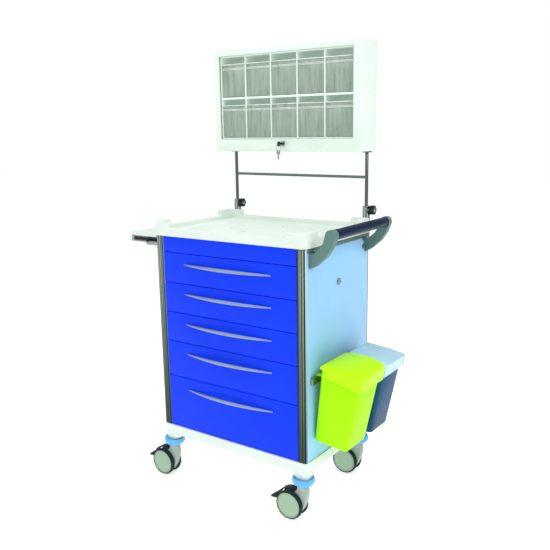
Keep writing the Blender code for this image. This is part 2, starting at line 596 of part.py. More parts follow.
# ------------------------------ drawer lock in the right side panel
LOCK_X = HALF_W + GAP
SIDE_LOCK_Z = TOP_Z - 0.136
side_lock = lathe("drawer_lock", [(0, 0), (0.0105, 0), (0.0105, 0.0040), (0.0080, 0.0070), (0, 0.0070)], 20,
                  (LOCK_X, -0.006, SIDE_LOCK_Z), "x", CHROME)
cut(side_lock, box("lock_slot", (LOCK_X + 0.0055, LOCK_X + 0.02), (-0.0070, -0.0050),
                   (SIDE_LOCK_Z - 0.0035, SIDE_LOCK_Z + 0.0035), hidden=True))

# ------------------------------ bin hanger on the right side panel
hang_x = HALF_W + GAP
hang_y = (-HALF_D + 0.024, HALF_D - 0.030)
hanger = box("bin_hanger", (hang_x + 0.0058, hang_x + 0.0088), hang_y, (HANG_Z, HANG_Z + 0.025), STEEL)
for y in (hang_y[0] + 0.006, WASTE_MID + 0.001, hang_y[1] - 0.006):
    weld(hanger, box(f"standoff_{y}", (hang_x, hang_x + 0.0062), (y - 0.006, y + 0.006),
                     (HANG_Z + 0.001, HANG_Z + 0.024), hidden=True))

# ------------------------------ waste bins, leaning out from the panel
turn = Matrix.Rotation(LEAN, 4, "Y")
pivot = Vector((WASTE_PIVOT[0], 0.0, WASTE_PIVOT[1]))


def leaning(points):
    """Points drawn from the bin's inner bottom edge, (outwards, up), placed in the cart."""
    placed = []
    for a, b in points:
        at = turn @ Vector((a, 0.0, b)) + pivot
        placed.append((at.x, at.z))
    return placed


def tapered(name, deep_low, deep_high, low, high, y, draft, mat=None, hidden=False, shrink=0.0):
    """A cube drawn out to a bin's taper, its upright edges rounded, then leaned."""
    bm = bmesh.new()
    bmesh.ops.create_cube(bm, size=1.0)
    for vert in bm.verts:
        upper = vert.co.z > 0
        pull = 0.0 if upper else draft
        outer = (deep_high if upper else deep_low) - shrink
        x = outer if vert.co.x > 0 else shrink
        side = y[1] - pull - shrink if vert.co.y > 0 else y[0] + pull + shrink
        vert.co = (x, side, high if upper else low)
    upright = [e for e in bm.edges if abs(e.verts[0].co.z - e.verts[1].co.z) > 0.1]
    bmesh.ops.bevel(bm, geom=upright, offset=0.014 - shrink, segments=3, profile=0.5, affect="EDGES")
    bm.transform(Matrix.Translation(pivot) @ turn)
    return place(from_bmesh(name, bm), mat, (0, 0, 0), hidden, False)


for colour, body_mat, lid_mat in (("yellow", YELLOW, YELLOW), ("blue", SLATE, PALE_BLUE)):
    y = WASTE_Y[colour]
    body = tapered(f"{colour}_bin", WASTE_DEEP_LOW, WASTE_DEEP, 0.0, WASTE_H, y, 0.008, body_mat)
    cut(body, tapered(f"{colour}_hollow", WASTE_DEEP_LOW, WASTE_DEEP + 0.004, WASTE_WALL, WASTE_H + 0.03,
                      y, 0.008, hidden=True, shrink=WASTE_WALL))
    # two hooks over the hanger bar
    middle = (y[0] + y[1]) / 2
    for side in (-1, 1):
        hook_y = (middle + side * 0.045 - 0.009, middle + side * 0.045 + 0.009)
        hook_end = WASTE_PIVOT[0] + (HANG_Z + 0.026 - WASTE_PIVOT[1]) * math.tan(LEAN) + 0.0020
        hook = [(hang_x + 0.0022, HANG_Z + 0.010), (hang_x + 0.0054, HANG_Z + 0.010),
                (hang_x + 0.0054, HANG_Z + 0.0254), (hook_end, HANG_Z + 0.0254),
                (hook_end, HANG_Z + 0.0290), (hang_x + 0.0022, HANG_Z + 0.0290)]
        weld(body, prism(f"{colour}_hook_{side}", hook, "y", hook_y, hidden=True))
    # lid: a shallow cap with a skirt outside the rim on three sides
    rim = 0.0022
    lid_y = (y[0] - 0.0045, y[1] + 0.0045)
    lid_out = WASTE_DEEP + LID_OVER
    dome = LID_T if colour == "yellow" else 0.006
    arch = [(lid_out - 0.020, WASTE_H + dome * 0.80), (lid_out * 0.62, WASTE_H + dome),
            (0.030, WASTE_H + dome * 0.85)]
    outline = [(0.001, WASTE_H + 0.0005), (lid_out, WASTE_H + 0.0005),
               (lid_out - 0.002, WASTE_H + dome * 0.45), *arch, (0.001, WASTE_H + dome * 0.45)]
    lid = prism(f"{colour}_lid", leaning(outline), "y", lid_y, lid_mat)
    skirt_depth = 0.038 if colour == "yellow" else 0.036
    skirt = leaning([(0.014, WASTE_H + 0.0025), (0.014, WASTE_H - skirt_depth * 0.6),
                     (lid_out - 0.0012, WASTE_H - skirt_depth), (lid_out - 0.0004, WASTE_H + 0.0025)])
    weld(lid, prism(f"{colour}_skirt", skirt, "y", (lid_y[0] + 0.0003, lid_y[1] - 0.0003), hidden=True))
    inside = leaning([(0.0055, WASTE_H - 0.060), (lid_out - 0.0045, WASTE_H - 0.060),
                      (lid_out - 0.0045, WASTE_H + dome * 0.20), *[(a, b - 0.0025) for a, b in arch],
                      (0.0055, WASTE_H + dome * 0.20)])
    cut(lid, prism(f"{colour}_lid_room", inside, "y", (y[0] - rim, y[1] + rim), hidden=True))
    hinge = leaning([(0.001, WASTE_H + 0.0005)])[0]
    move_origin(lid, (hinge[0], middle, hinge[1]))

# ------------------------------ casters
NECK_Z = LEG_LOW - 0.029  # where the fork's neck meets the bumper ring
fork_profile = [(0.0165, NECK_Z), (0.0185, AXLE_Z + 0.060), (0.0175, AXLE_Z + 0.038),
                (0.0120, AXLE_Z + 0.016),
                (0.0030, AXLE_Z - 0.007), (-0.0110, AXLE_Z - 0.024), (-0.0300, AXLE_Z - 0.0315),
                (-0.0500, AXLE_Z - 0.030), (-0.0660, AXLE_Z - 0.018), (-0.0720, AXLE_Z),
                (-0.0660, AXLE_Z + 0.020), (-0.0500, AXLE_Z + 0.032), (-0.0320, AXLE_Z + 0.042),
                (-0.0200, AXLE_Z + 0.058), (-0.0165, NECK_Z)]
for y_name, sy in (("front", -1), ("rear", 1)):
    for x_name, sx in SIDES.items():
        tag = f"{y_name}_{x_name}"
        cx = sx * STEM_X
        cy = sy * STEM_Y
        fork = prism(f"caster_{tag}", [(cx + a, b) for a, b in fork_profile], "y",
                     (cy - FORK_HALF, cy + FORK_HALF), CASTER_BODY)
        move_origin(fork, (cx, cy, 0.0))
        ring = [(0, -0.0003), (BUMPER_R - 0.0085, -0.0003), (BUMPER_R - 0.0040, -0.0025), (BUMPER_R, -0.0120),
                (BUMPER_R - 0.0045, -0.0210), (0.0240, -0.0280), (0.0178, -0.0300), (0.0160, -0.0450),
                (0, -0.0450)]
        ring = [(r, LEG_LOW + h) for r, h in ring]
        weld(fork, lathe(f"bumper_{tag}", ring, 24, (cx, cy, 0), hidden=True))
        weld(fork, rod(f"stem_{tag}", STEM_R, 16, (cx, cy, LEG_LOW - 0.010), (cx, cy, LEG_LOW + STEM_TALL),
                       hidden=True))
        cut(fork, rod(f"axle_hole_{tag}", AXLE_R + GAP, 16, (cx - TRAIL, cy - 0.05, AXLE_Z),
                      (cx - TRAIL, cy + 0.05, AXLE_Z), "y", hidden=True))
        # two wheels and the axle they share
        half = [(0, WHEEL_OUT - 0.0010), (WHEEL_R - 0.0080, WHEEL_OUT - 0.0010),
                (WHEEL_R - 0.0060, WHEEL_OUT),
                (WHEEL_R - 0.0020, WHEEL_OUT - 0.0030), (WHEEL_R, WHEEL_OUT - 0.0080),
                (WHEEL_R - 0.0015, WHEEL_IN + 0.0015), (WHEEL_R - 0.0050, WHEEL_IN), (AXLE_R, WHEEL_IN)]
        profile = half + [(r, -h) for r, h in reversed(half)]
        lathe(f"wheels_{tag}", profile, 24, (cx - TRAIL, cy, AXLE_Z), "y", TYRE)
        if sy < 0:
            # brake pedal: a band that arches over the wheels, with a toe at the back
            inner = []
            outer = []
            for i in range(9):
                a = math.radians(74 + 100 * i / 8)
                low_r = WHEEL_R + 0.0030
                high_r = WHEEL_R + 0.0070
                inner.append((cx - TRAIL + low_r * math.cos(a), AXLE_Z + low_r * math.sin(a)))
                outer.append((cx - TRAIL + high_r * math.cos(a), AXLE_Z + high_r * math.sin(a)))
            toe = [(cx - TRAIL - WHEEL_R - 0.0290, AXLE_Z + 0.0020),
                   (cx - TRAIL - WHEEL_R - 0.0280, AXLE_Z + 0.0090)]
            pedal = prism(f"brake_pedal_{x_name}", inner + toe + outer[:-2][::-1], "y",
                          (cy - 0.014, cy + 0.014), BLACK)
            move_origin(pedal, (cx - TRAIL, cy, AXLE_Z))
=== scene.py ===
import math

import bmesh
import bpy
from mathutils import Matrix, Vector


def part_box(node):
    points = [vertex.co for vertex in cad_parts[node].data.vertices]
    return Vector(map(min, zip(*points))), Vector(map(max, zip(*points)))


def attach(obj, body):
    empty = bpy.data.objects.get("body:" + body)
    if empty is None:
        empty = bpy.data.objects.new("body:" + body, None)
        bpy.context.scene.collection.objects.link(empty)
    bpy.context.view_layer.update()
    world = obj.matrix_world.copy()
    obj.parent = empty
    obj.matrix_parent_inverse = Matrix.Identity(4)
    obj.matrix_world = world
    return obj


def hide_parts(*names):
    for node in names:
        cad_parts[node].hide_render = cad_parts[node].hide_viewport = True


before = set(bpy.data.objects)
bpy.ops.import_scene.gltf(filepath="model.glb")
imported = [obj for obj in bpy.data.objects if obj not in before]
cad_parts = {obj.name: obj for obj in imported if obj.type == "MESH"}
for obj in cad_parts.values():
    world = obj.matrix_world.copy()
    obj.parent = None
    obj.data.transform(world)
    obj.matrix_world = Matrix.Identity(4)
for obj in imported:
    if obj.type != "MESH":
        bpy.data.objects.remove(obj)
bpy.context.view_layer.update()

# %% [markdown]
# # A crash cart, one piece at a time
# A crash cart is a moulded drawer trolley that a ward team rolls to an emergency.
# The line above has loaded its engineering model: every tube, panel, hinge and wheel at its true size.
# Here each of those pieces gets its real look: soft edges, seams, grain and wear.
# Nothing is moved: a new piece takes its place from the engineering piece that it stands for.

scene = bpy.context.scene

# %% [markdown]
# ## Working by hand, in code
# In the window a modeller adds a cube, goes into edit mode, selects and shapes, then applies modifiers.
# These short helpers do the same steps. Everything is deselected first, because an operator
# acts on all that is selected and the loaded pieces start out selected.


# %% Helpers for objects
def look_away():
    """Object mode, with nothing selected."""
    if bpy.context.mode != "OBJECT":
        bpy.ops.object.mode_set(mode="OBJECT")
    bpy.ops.object.select_all(action="DESELECT")


def take(obj):
    """Makes one object the selected and active one."""
    look_away()
    obj.select_set(True)
    bpy.context.view_layer.objects.active = obj
    return obj


def settle(obj, name):
    """Names a fresh object and bakes its place, turn and size into its mesh."""
    take(obj)
    obj.name = name
    obj.data.name = name
    bpy.ops.object.transform_apply(location=True, rotation=True, scale=True)
    return obj


def block(name, low, high):
    """A cube between two corners, the start of most moulded pieces."""
    look_away()
    low = Vector(low)
    high = Vector(high)
    bpy.ops.mesh.primitive_cube_add(size=1, location=(low + high) / 2, scale=high - low)
    return settle(bpy.context.object, name)


def bar(name, start, end, radius, sides=32):
    """A cylinder from one point to another, the start of rods, bosses and screws."""
    look_away()
    start = Vector(start)
    end = Vector(end)
    turn = (end - start).to_track_quat("Z", "Y").to_euler()
    bpy.ops.mesh.primitive_cylinder_add(
        vertices=sides, radius=radius, depth=(end - start).length,
        location=(start + end) / 2, rotation=turn,
    )
    return settle(bpy.context.object, name)


def apply(obj, kind, **settings):
    """Adds a modifier, sets it, and applies it."""
    take(obj)
    modifier = obj.modifiers.new(kind.lower(), kind)
    for key, value in settings.items():
        setattr(modifier, key, value)
    bpy.ops.object.modifier_apply(modifier=modifier.name)
    return obj


def smooth(obj, angle=35):
    take(obj)
    bpy.ops.object.shade_smooth_by_angle(angle=math.radians(angle))
    return obj


def soften(obj, width, segments=3, angle=30, clamp=True):
    """Rounds every edge sharper than an angle, then shades the curves smooth."""
    apply(obj, "BEVEL", width=width, segments=segments, limit_method="ANGLE",
          angle_limit=math.radians(angle), use_clamp_overlap=clamp, miter_outer="MITER_ARC")
    return smooth(obj)


def combine(obj, other, operation="UNION"):
    """Adds another shape to this one, or carves it out, and throws the other away."""
    apply(obj, "BOOLEAN", operation=operation, solver="EXACT", object=other)
    bpy.data.objects.remove(other, do_unlink=True)
    return obj


def carve(obj, other):
    return combine(obj, other, "DIFFERENCE")


def join(name, pieces):
    """Several shapes made one object, without welding them."""
    look_away()
    for piece in pieces:
        piece.select_set(True)
    bpy.context.view_layer.objects.active = pieces[0]
    if len(pieces) > 1:
        bpy.ops.object.join()
    return settle(bpy.context.object, name)


def copy_of(obj, name, shift=(0, 0, 0)):
    """A copy with its own mesh, set down somewhere else."""
    take(obj)
    bpy.ops.object.duplicate(linked=False)
    twin = bpy.context.object
    for key in list(twin.keys()):
        if key.startswith("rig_"):
            del twin[key]
    twin.parent = None
    twin.location = shift
    return settle(twin, name)


print("object helpers ready")


# %% Helpers for edit mode
def pick(obj, kind, test):
    """In edit mode, selects the faces, edges or points that pass a test of their middle and themselves."""
    if bpy.context.mode != "EDIT_MESH":
        take(obj)
        bpy.ops.object.mode_set(mode="EDIT")
    bpy.ops.mesh.select_mode(type=kind)
    bpy.ops.mesh.select_all(action="DESELECT")
    mesh = bmesh.from_edit_mesh(obj.data)
    items = {"FACE": mesh.faces, "EDGE": mesh.edges, "VERT": mesh.verts}[kind]
    for item in items:
        if kind == "VERT":
            middle = item.co
        else:
            middle = sum((v.co for v in item.verts), Vector()) / len(item.verts)
        if test(middle, item):
            item.select = True
    mesh.select_flush_mode()
    bmesh.update_edit_mesh(obj.data)


def upright(middle, edge):
    """True for an edge that stands up along Z."""
    along = edge.verts[0].co - edge.verts[1].co
    return abs(along.z) > 0.95 * along.length


def round_corners(obj, width, segments, test=upright):
    """Rounds the edges that pass a test, which are the upright corners unless it says otherwise."""
    pick(obj, "EDGE", test)
    bpy.ops.mesh.bevel(offset=width, segments=segments, affect="EDGES")


def groove(obj, test, wall, depth):
    """Insets the faces that pass a test, and moves the inner part along its normal."""
    pick(obj, "FACE", test)
    bpy.ops.mesh.inset(thickness=wall, depth=depth)


def hollow(obj, test, wall, push):
    """Insets the faces that pass a test, then pushes the inner part in to leave walls."""
    groove(obj, test, wall, 0)
    bpy.ops.mesh.extrude_region_move(TRANSFORM_OT_translate={"value": push})


def slice_at(obj, point, normal):
    """Cuts an edge ring right round a piece at a plane."""
    pick(obj, "FACE", lambda middle, face: True)
    bpy.ops.mesh.bisect(plane_co=point, plane_no=normal)


def trace(name, points, closed=False):
    """Draws a line from point to point by extruding a corner, and fills it if it is closed."""
    look_away()
    bpy.ops.mesh.primitive_plane_add(size=0.01, location=points[0])
    obj = bpy.context.object
    settle(obj, name)
    bpy.ops.object.mode_set(mode="EDIT")
    bpy.ops.mesh.select_mode(type="VERT")
    bpy.ops.mesh.select_all(action="SELECT")
    bpy.ops.mesh.merge(type="CENTER")
    for start, end in zip(points, points[1:]):
        step = Vector(end) - Vector(start)
        bpy.ops.mesh.extrude_region_move(TRANSFORM_OT_translate={"value": step})
    if closed:
        bpy.ops.mesh.select_all(action="SELECT")
        bpy.ops.mesh.edge_face_add()
    return obj


def turned(name, centre, axis, profile, steps=48):
    """Spins a profile of (radius, height) round an axis through a centre, as on a lathe."""
    centre = Vector(centre)
    axis = Vector(axis).normalized()
    out = axis.orthogonal().normalized()
    points = [centre + out * r + axis * h for r, h in profile]
    obj = trace(name, points)
    bpy.ops.mesh.select_all(action="SELECT")
    bpy.ops.mesh.spin(steps=steps, angle=2 * math.pi, center=centre, axis=axis)
    bpy.ops.mesh.select_all(action="SELECT")
    bpy.ops.mesh.remove_doubles(threshold=0.00002)
    bpy.ops.mesh.normals_make_consistent(inside=False)
    look_away()
    return smooth(obj, 40)


def raised(name, points, depth):
    """A closed outline pulled out into a solid by a step."""
    obj = trace(name, points, closed=True)
    bpy.ops.mesh.select_all(action="SELECT")
    bpy.ops.mesh.extrude_region_move(TRANSFORM_OT_translate={"value": depth})
    bpy.ops.mesh.select_all(action="SELECT")
    bpy.ops.mesh.normals_make_consistent(inside=False)
    look_away()
    return obj


def softened(node, name, width, segments=2, angle=30):
    """A merged copy of an engineering piece, its flat faces cleaned up and its edges rounded."""
    twin = copy_of(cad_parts[node], name)
    twin.data.materials.clear()
    twin.hide_render = False
    take(twin)
    bpy.ops.object.mode_set(mode="EDIT")
    bpy.ops.mesh.select_all(action="SELECT")
    bpy.ops.mesh.remove_doubles(threshold=0.00001)
    bpy.ops.mesh.dissolve_limited(angle_limit=math.radians(1))
    bpy.ops.mesh.normals_make_consistent(inside=False)
    look_away()
    if width:
        soften(twin, width, segments, angle)
    return smooth(twin)


print("edit helpers ready")

# %% [markdown]
# ## Finishes
# A finish is a small recipe of nodes. Plastic from a mould is never one flat colour: it has a fine
# orange-peel skin, broad patches that are a shade lighter, a sheen that varies, and paler scuffed edges.
# Patterns read Object coordinates, in metres, so their scale is real and they never stretch.


# %% A finish and its patterns
class Finish:
    """One material and the handful of nodes that most of them share."""

    def __init__(self, name):
        self.mat = bpy.data.materials.new(name)
        self.mat.use_nodes = True
        self.nodes = self.mat.node_tree.nodes
        self.shader = self.nodes["Principled BSDF"]

    def link(self, out, into):
        self.mat.node_tree.links.new(out, into)

    def node(self, kind, **inputs):
        made = self.nodes.new(kind)
        for key, value in inputs.items():
            made.inputs[key.replace("_", " ")].default_value = value
        return made

    def place(self, stretch=(1, 1, 1), shift=(0, 0, 0)):
        """Object coordinates, shifted and stretched."""
        coordinates = self.nodes.new("ShaderNodeTexCoord")
        mapping = self.node("ShaderNodeMapping", Scale=stretch, Location=shift)
        self.link(coordinates.outputs["Object"], mapping.inputs["Vector"])
        return mapping.outputs["Vector"]

    def noise(self, scale, detail=3.0, roughness=0.55, stretch=(1, 1, 1)):
        made = self.node("ShaderNodeTexNoise", Scale=scale, Detail=detail, Roughness=roughness)
        self.link(self.place(stretch), made.inputs["Vector"])
        return made.outputs["Fac"]

    def remap(self, value, low, high, start=0.0, end=1.0):
        made = self.node("ShaderNodeMapRange", From_Min=low, From_Max=high, To_Min=start, To_Max=end)
        self.link(value, made.inputs["Value"])
        return made.outputs["Result"]

    def mix(self, factor, first, second, how="MIX"):
        made = self.nodes.new("ShaderNodeMix")
        made.data_type = "RGBA"
        made.blend_type = how
        if isinstance(factor, float):
            made.inputs[0].default_value = factor
        else:
            self.link(factor, made.inputs[0])
        for socket, value in ((made.inputs[6], first), (made.inputs[7], second)):
            if isinstance(value, tuple):
                socket.default_value = (*value[:3], 1.0)
            else:
                self.link(value, socket)
        return made.outputs[2]

    def math(self, how, first, second=0.0):
        made = self.nodes.new("ShaderNodeMath")
        made.operation = how
        for socket, value in ((made.inputs[0], first), (made.inputs[1], second)):
            if isinstance(value, (int, float)):
                socket.default_value = value
            else:
                self.link(value, socket)
        return made.outputs[0]

    def edges(self, low=0.52, high=0.60):
        """1 on corners that a hand or a trolley rubs, 0 on flats."""
        geometry = self.nodes.new("ShaderNodeNewGeometry")
        return self.remap(geometry.outputs["Pointiness"], low, high)

    def bumps(self, *layers):
        """Stacks height patterns, each a (value, depth in metres) pair."""
        normal = None
        for value, depth in layers:
            made = self.node("ShaderNodeBump", Strength=1.0, Distance=depth)
            self.link(value, made.inputs["Height"])
            if normal is not None:
                self.link(normal, made.inputs["Normal"])
            normal = made.outputs["Normal"]
        self.link(normal, self.shader.inputs["Normal"])

    def colour(self, value):
        self.link(value, self.shader.inputs["Base Color"])

    def set(self, **inputs):
        for key, value in inputs.items():
            self.shader.inputs[key.replace("_", " ")].default_value = value
        return self


def shade(colour, by):
    """The same colour, lighter or darker."""
    return tuple(min(1.0, part * by) for part in colour)


def moulded(name, colour, roughness=0.36, worn=None, grain=0.00004, patch=0.06, sheen=0.16):
    """Injection-moulded plastic."""
    made = Finish(name)
    broad = made.remap(made.noise(5.0, 4.0), 0.35, 0.65)
    base = made.mix(broad, shade(colour, 1 - patch), shade(colour, 1 + patch))
    rubbed = made.math("MULTIPLY", made.edges(0.54, 0.66), made.remap(made.noise(160.0, 5.0), 0.45, 0.80))
    made.colour(made.mix(rubbed, base, worn or shade(colour, 1.25)))
    made.link(made.remap(made.noise(18.0, 6.0), 0.3, 0.7, roughness - 0.07, roughness + 0.10),
              made.shader.inputs["Roughness"])
    made.bumps((made.noise(420.0, 2.0), grain), (made.noise(12.0, 2.0), grain))
    return made.set(Specular_IOR_Level=sheen).mat


def metal(name, colour, roughness=0.25, stretch=(1, 1, 1), lines=0.12, worn=None, grain=0.00001):
    """Drawn or brushed metal. Stretching the noise one way gives the lines of the tool."""
    made = Finish(name)
    drawn = made.noise(900.0, 3.0, 0.6, stretch)
    base = made.mix(made.remap(drawn, 0.3, 0.7), shade(colour, 1 - lines), shade(colour, 1 + lines))
    smudge = made.remap(made.noise(14.0, 5.0), 0.35, 0.7)
    made.colour(made.mix(made.math("MULTIPLY", smudge, 0.25), base, worn or shade(colour, 0.75)))
    made.link(made.remap(smudge, 0.0, 1.0, roughness, roughness + 0.14), made.shader.inputs["Roughness"])
    made.bumps((drawn, grain))
    return made.set(Metallic=1.0).mat


print("finish helpers ready")

# %% [markdown]
# The cart's own finishes follow. Its white mouldings lean a little to green and its drawer fronts are a
# strong royal blue. The extrusions at the corners are drawn aluminium, so their lines run upwards.

# %% The cart's finishes
WHITE = moulded("white_moulding", (0.75, 0.82, 0.76), 0.34, worn=(0.80, 0.86, 0.81), patch=0.03)
CASE = moulded("white_case", (0.74, 0.85, 0.77), 0.30, worn=(0.82, 0.90, 0.84), patch=0.025, grain=0.00003)
RACK = moulded("white_rack", (0.76, 0.86, 0.79), 0.34, worn=(0.92, 0.94, 0.92), patch=0.03)
ROYAL = moulded("royal_blue", (0.004, 0.045, 0.90), 0.40, worn=(0.03, 0.12, 0.92), patch=0.05, sheen=0.10)
SKY = moulded("sky_blue_panel", (0.32, 0.60, 0.90), 0.34, worn=(0.60, 0.80, 0.95), patch=0.035)
GREY = moulded("grey_bracket", (0.115, 0.205, 0.185), 0.38, worn=(0.30, 0.40, 0.36), grain=0.00006)
# A dark strip finish: painted shade under the worktop's overhang
SHADE_STRIP = moulded("painted_shade_strip", (0.10, 0.17, 0.15), 0.40, worn=(0.25, 0.33, 0.30), patch=0.10)
NAVY = moulded("navy_grip", (0.002, 0.014, 0.045), 0.24, worn=(0.02, 0.05, 0.09), grain=0.00003, sheen=0.07)
BLACK = moulded("black_nylon", (0.006, 0.010, 0.012), 0.40, worn=(0.07, 0.08, 0.08), grain=0.00006)
LIME = moulded("lime_yellow", (0.42, 1.0, 0.0), 0.42, worn=(0.48, 1.0, 0.01), patch=0.04, sheen=0.10)
# The lime lid's finish is a lighter, yellower copy of the lime: painted light on the lid's top
LIME_LID_LIT = moulded("lime_lid_painted_light", (0.52, 1.0, 0.002), 0.36, worn=(0.58, 1.0, 0.01), patch=0.04, sheen=0.12)
SLATE = moulded("slate_blue", (0.010, 0.070, 0.160), 0.36, worn=(0.05, 0.16, 0.27), patch=0.08, sheen=0.08)
RING = moulded("bumper_blue", (0.14, 0.45, 0.82), 0.26, worn=(0.50, 0.78, 0.95), patch=0.05)
FAIRING = moulded("caster_grey", (0.36, 0.44, 0.39), 0.30, worn=(0.70, 0.76, 0.72), patch=0.06)
COVER = moulded("wheel_cover", (0.35, 0.48, 0.35), 0.34, worn=(0.60, 0.70, 0.62), patch=0.05)
RUBBER = moulded("tyre_rubber", (0.010, 0.020, 0.024), 0.55, worn=(0.06, 0.08, 0.08),
                 grain=0.00012, patch=0.15)
TUB = moulded("drawer_tub", (0.66, 0.72, 0.70), 0.38, worn=(0.85, 0.88, 0.86), patch=0.04)
SILVER = metal("silver_handle", (0.27, 0.34, 0.44), 0.30, stretch=(0.02, 1, 1), lines=0.06)
CHROME = metal("chrome", (0.29, 0.33, 0.31), 0.16, stretch=(1, 1, 0.05), lines=0.10)
TUBE = metal("bright_tube", (0.145, 0.165, 0.155), 0.22, stretch=(1, 1, 0.05), lines=0.10)
ZINC = metal("zinc_steel", (0.36, 0.40, 0.37), 0.34, stretch=(1, 0.03, 1), lines=0.10)
# The rack glows faintly: painted light that lifts the shade in the bays behind the bins
rack_glow_shader = RACK.node_tree.nodes["Principled BSDF"]
rack_glow_shader.inputs["Emission Color"].default_value = (0.80, 0.95, 0.86, 1)
rack_glow_shader.inputs["Emission Strength"].default_value = 0.10
print("finishes:", len(bpy.data.materials))

# %% [markdown]
# The corner extrusion carries painted light: painted highlights on its lands and painted shade in its
# grooves. One finish does both: the distance across the column decides. The outer side has a painted
# highlight at the front and painted shade at the rear, and painted shade darkens all of it towards the floor.

# %% Aluminium with dark grooves
centre = (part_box("fascia")[0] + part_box("fascia")[1]) / 2
body_half = centre.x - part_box("column_front_left")[0].x
COLUMN_WIDE = 0.0320


def aluminium_painted_light():
    made = Finish("aluminium_painted_light")
    split = made.nodes.new("ShaderNodeSeparateXYZ")
    made.link(made.place(shift=(-centre.x, 0, 0)), split.inputs["Vector"])
    inward = made.math("SUBTRACT", body_half, made.math("ABSOLUTE", split.outputs["X"]))
    ramp = made.nodes.new("ShaderNodeValToRGB")
    ramp.color_ramp.interpolation = "LINEAR"
    made.link(made.remap(inward, 0.0, COLUMN_WIDE), ramp.inputs["Fac"])
    # Painted shade (dark), half shade (mid) and painted highlight (bright), laid in stripes across the column
    dark = (0.006, 0.018, 0.014, 1.0)
    mid = (0.08, 0.12, 0.08, 1.0)
    bright = (0.24, 0.30, 0.23, 1.0)
    stops = [(0.0, mid), (0.06, dark), (0.26, dark), (0.31, bright), (0.44, mid), (0.47, dark),
             (0.60, dark), (0.63, mid), (0.70, bright), (0.83, mid), (0.87, dark), (1.0, dark)]
    while len(ramp.color_ramp.elements) < len(stops):
        ramp.color_ramp.elements.new(0.5)
    for element, (at, tone) in zip(ramp.color_ramp.elements, stops):
        element.position = at
        element.color = tone
    geometry = made.nodes.new("ShaderNodeNewGeometry")
    facing = made.nodes.new("ShaderNodeSeparateXYZ")
    made.link(geometry.outputs["Normal"], facing.inputs["Vector"])
    side = made.remap(made.math("ABSOLUTE", facing.outputs["X"]), 0.5, 0.8)
    lines = made.remap(made.noise(900.0, 3.0, 0.6, (1, 1, 0.01)), 0.3, 0.7)
    # Outer side: a painted highlight at the front, painted shade at the rear
    rear = made.remap(split.outputs["Y"], centre.y - 0.005, centre.y + 0.005)
    outside = made.mix(rear, (0.72, 0.78, 0.74), dark)
    tone = made.mix(side, ramp.outputs["Color"], outside)
    drawn = made.mix(made.math("MULTIPLY", lines, 0.06), tone, (0.30, 0.33, 0.30))
    # Painted shade, deepening towards the floor
    height = made.remap(split.outputs["Z"], 0.25, 0.85, 0.80, 0.0)
    made.colour(made.mix(height, drawn, (0.010, 0.030, 0.020)))
    made.bumps((lines, 0.00001))
    return made.set(Metallic=0.0, Roughness=0.38, Specular_IOR_Level=0.08).mat


COLUMN = aluminium_painted_light()
print("column width", round(body_half, 4))


# %% [markdown]
# The bins in the cabinet are clear styrene. A clear sheet this thin mostly shows what is behind it, plus
# pale milky streaks left by the mould flow. Part transparency with a streaked pattern gives that look.

# %% Clear and translucent plastics
def clear_styrene(name, colour, low, high, stretch):
    made = Finish(name)
    streak = made.remap(made.noise(70.0, 4.0, 0.6, stretch), 0.30, 0.70)
    made.colour(made.mix(streak, shade(colour, 0.86), shade(colour, 1.10)))
    made.link(made.remap(streak, 0.0, 1.0, low, high), made.shader.inputs["Alpha"])
    made.link(made.remap(made.noise(30.0, 3.0), 0.3, 0.7, 0.08, 0.20), made.shader.inputs["Roughness"])
    made.bumps((made.noise(90.0, 2.0, 0.5, stretch), 0.00015))
    made.mat.diffuse_color = (*colour, 0.5)
    return made.set(IOR=1.55).mat


CLEAR = clear_styrene("clear_styrene", (0.42, 0.52, 0.44), 0.42, 0.60, (1, 1, 0.12))
# The lips and ridges get a paler, more opaque clear: a painted highlight along each bin's lip
LIP_HIGHLIGHT = clear_styrene("clear_lip_painted_highlight", (0.86, 0.91, 0.86), 0.80, 0.96, (1, 1, 1))
PALE = clear_styrene("pale_blue_lid", (0.50, 0.76, 0.90), 0.90, 0.98, (0.25, 0.12, 0.25))
print("clear finishes made")


# %% Handing a finished piece over
def wear(obj, finish):
    """Gives an object one finish."""
    obj.data.materials.clear()
    obj.data.materials.append(finish)
    return obj


def fit(obj, body, finish, slot, *nodes):
    """Gives a piece its finish, joins it to the body it moves with, and hides what it stands for."""
    wear(obj, finish)
    look_away()
    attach(obj, body)
    if nodes:
        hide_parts(*nodes)
    return obj


print("ready to build")

# %% [markdown]
# ## The worktop
# The top is one white moulding: a shallow tray with a flat rim, and a raised horn at each corner that
# stops things rolling off. A moulder thinks in draws and steps, so a block is rounded at its corners,
# inset for the rim, pushed down for the tray, and pulled up at the horns.

# %% Worktop
low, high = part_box("worktop")
RIM_TOP = low.z + 0.029
RIM_WIDE = 0.020
TRAY_DEEP = 0.016
HORN_LEN = 0.074
middle_of_top = (low + high) / 2
reach = (high - low) / 2
top = block("worktop_tray", low, (high.x, high.y, RIM_TOP))
round_corners(top, 0.028, 8)
for along, normal in ((0, (1, 0, 0)), (1, (0, 1, 0))):
    for side in (-1, 1):
        point = middle_of_top.copy()
        point[along] += side * (reach[along] - HORN_LEN)
        slice_at(top, point, normal)
hollow(top, lambda middle, face: face.normal.z > 0.9, RIM_WIDE, (0, 0, -TRAY_DEEP))
pick(top, "FACE", lambda middle, face: face.normal.z > 0.9 and middle.z > RIM_TOP - 0.001
     and abs(middle.x - middle_of_top.x) > reach.x - HORN_LEN
     and abs(middle.y - middle_of_top.y) > reach.y - HORN_LEN)
bpy.ops.mesh.extrude_region_move(TRANSFORM_OT_translate={"value": (0, 0, high.z - RIM_TOP)})
bpy.ops.mesh.select_all(action="SELECT")
bpy.ops.mesh.dissolve_limited(angle_limit=math.radians(1))
look_away()
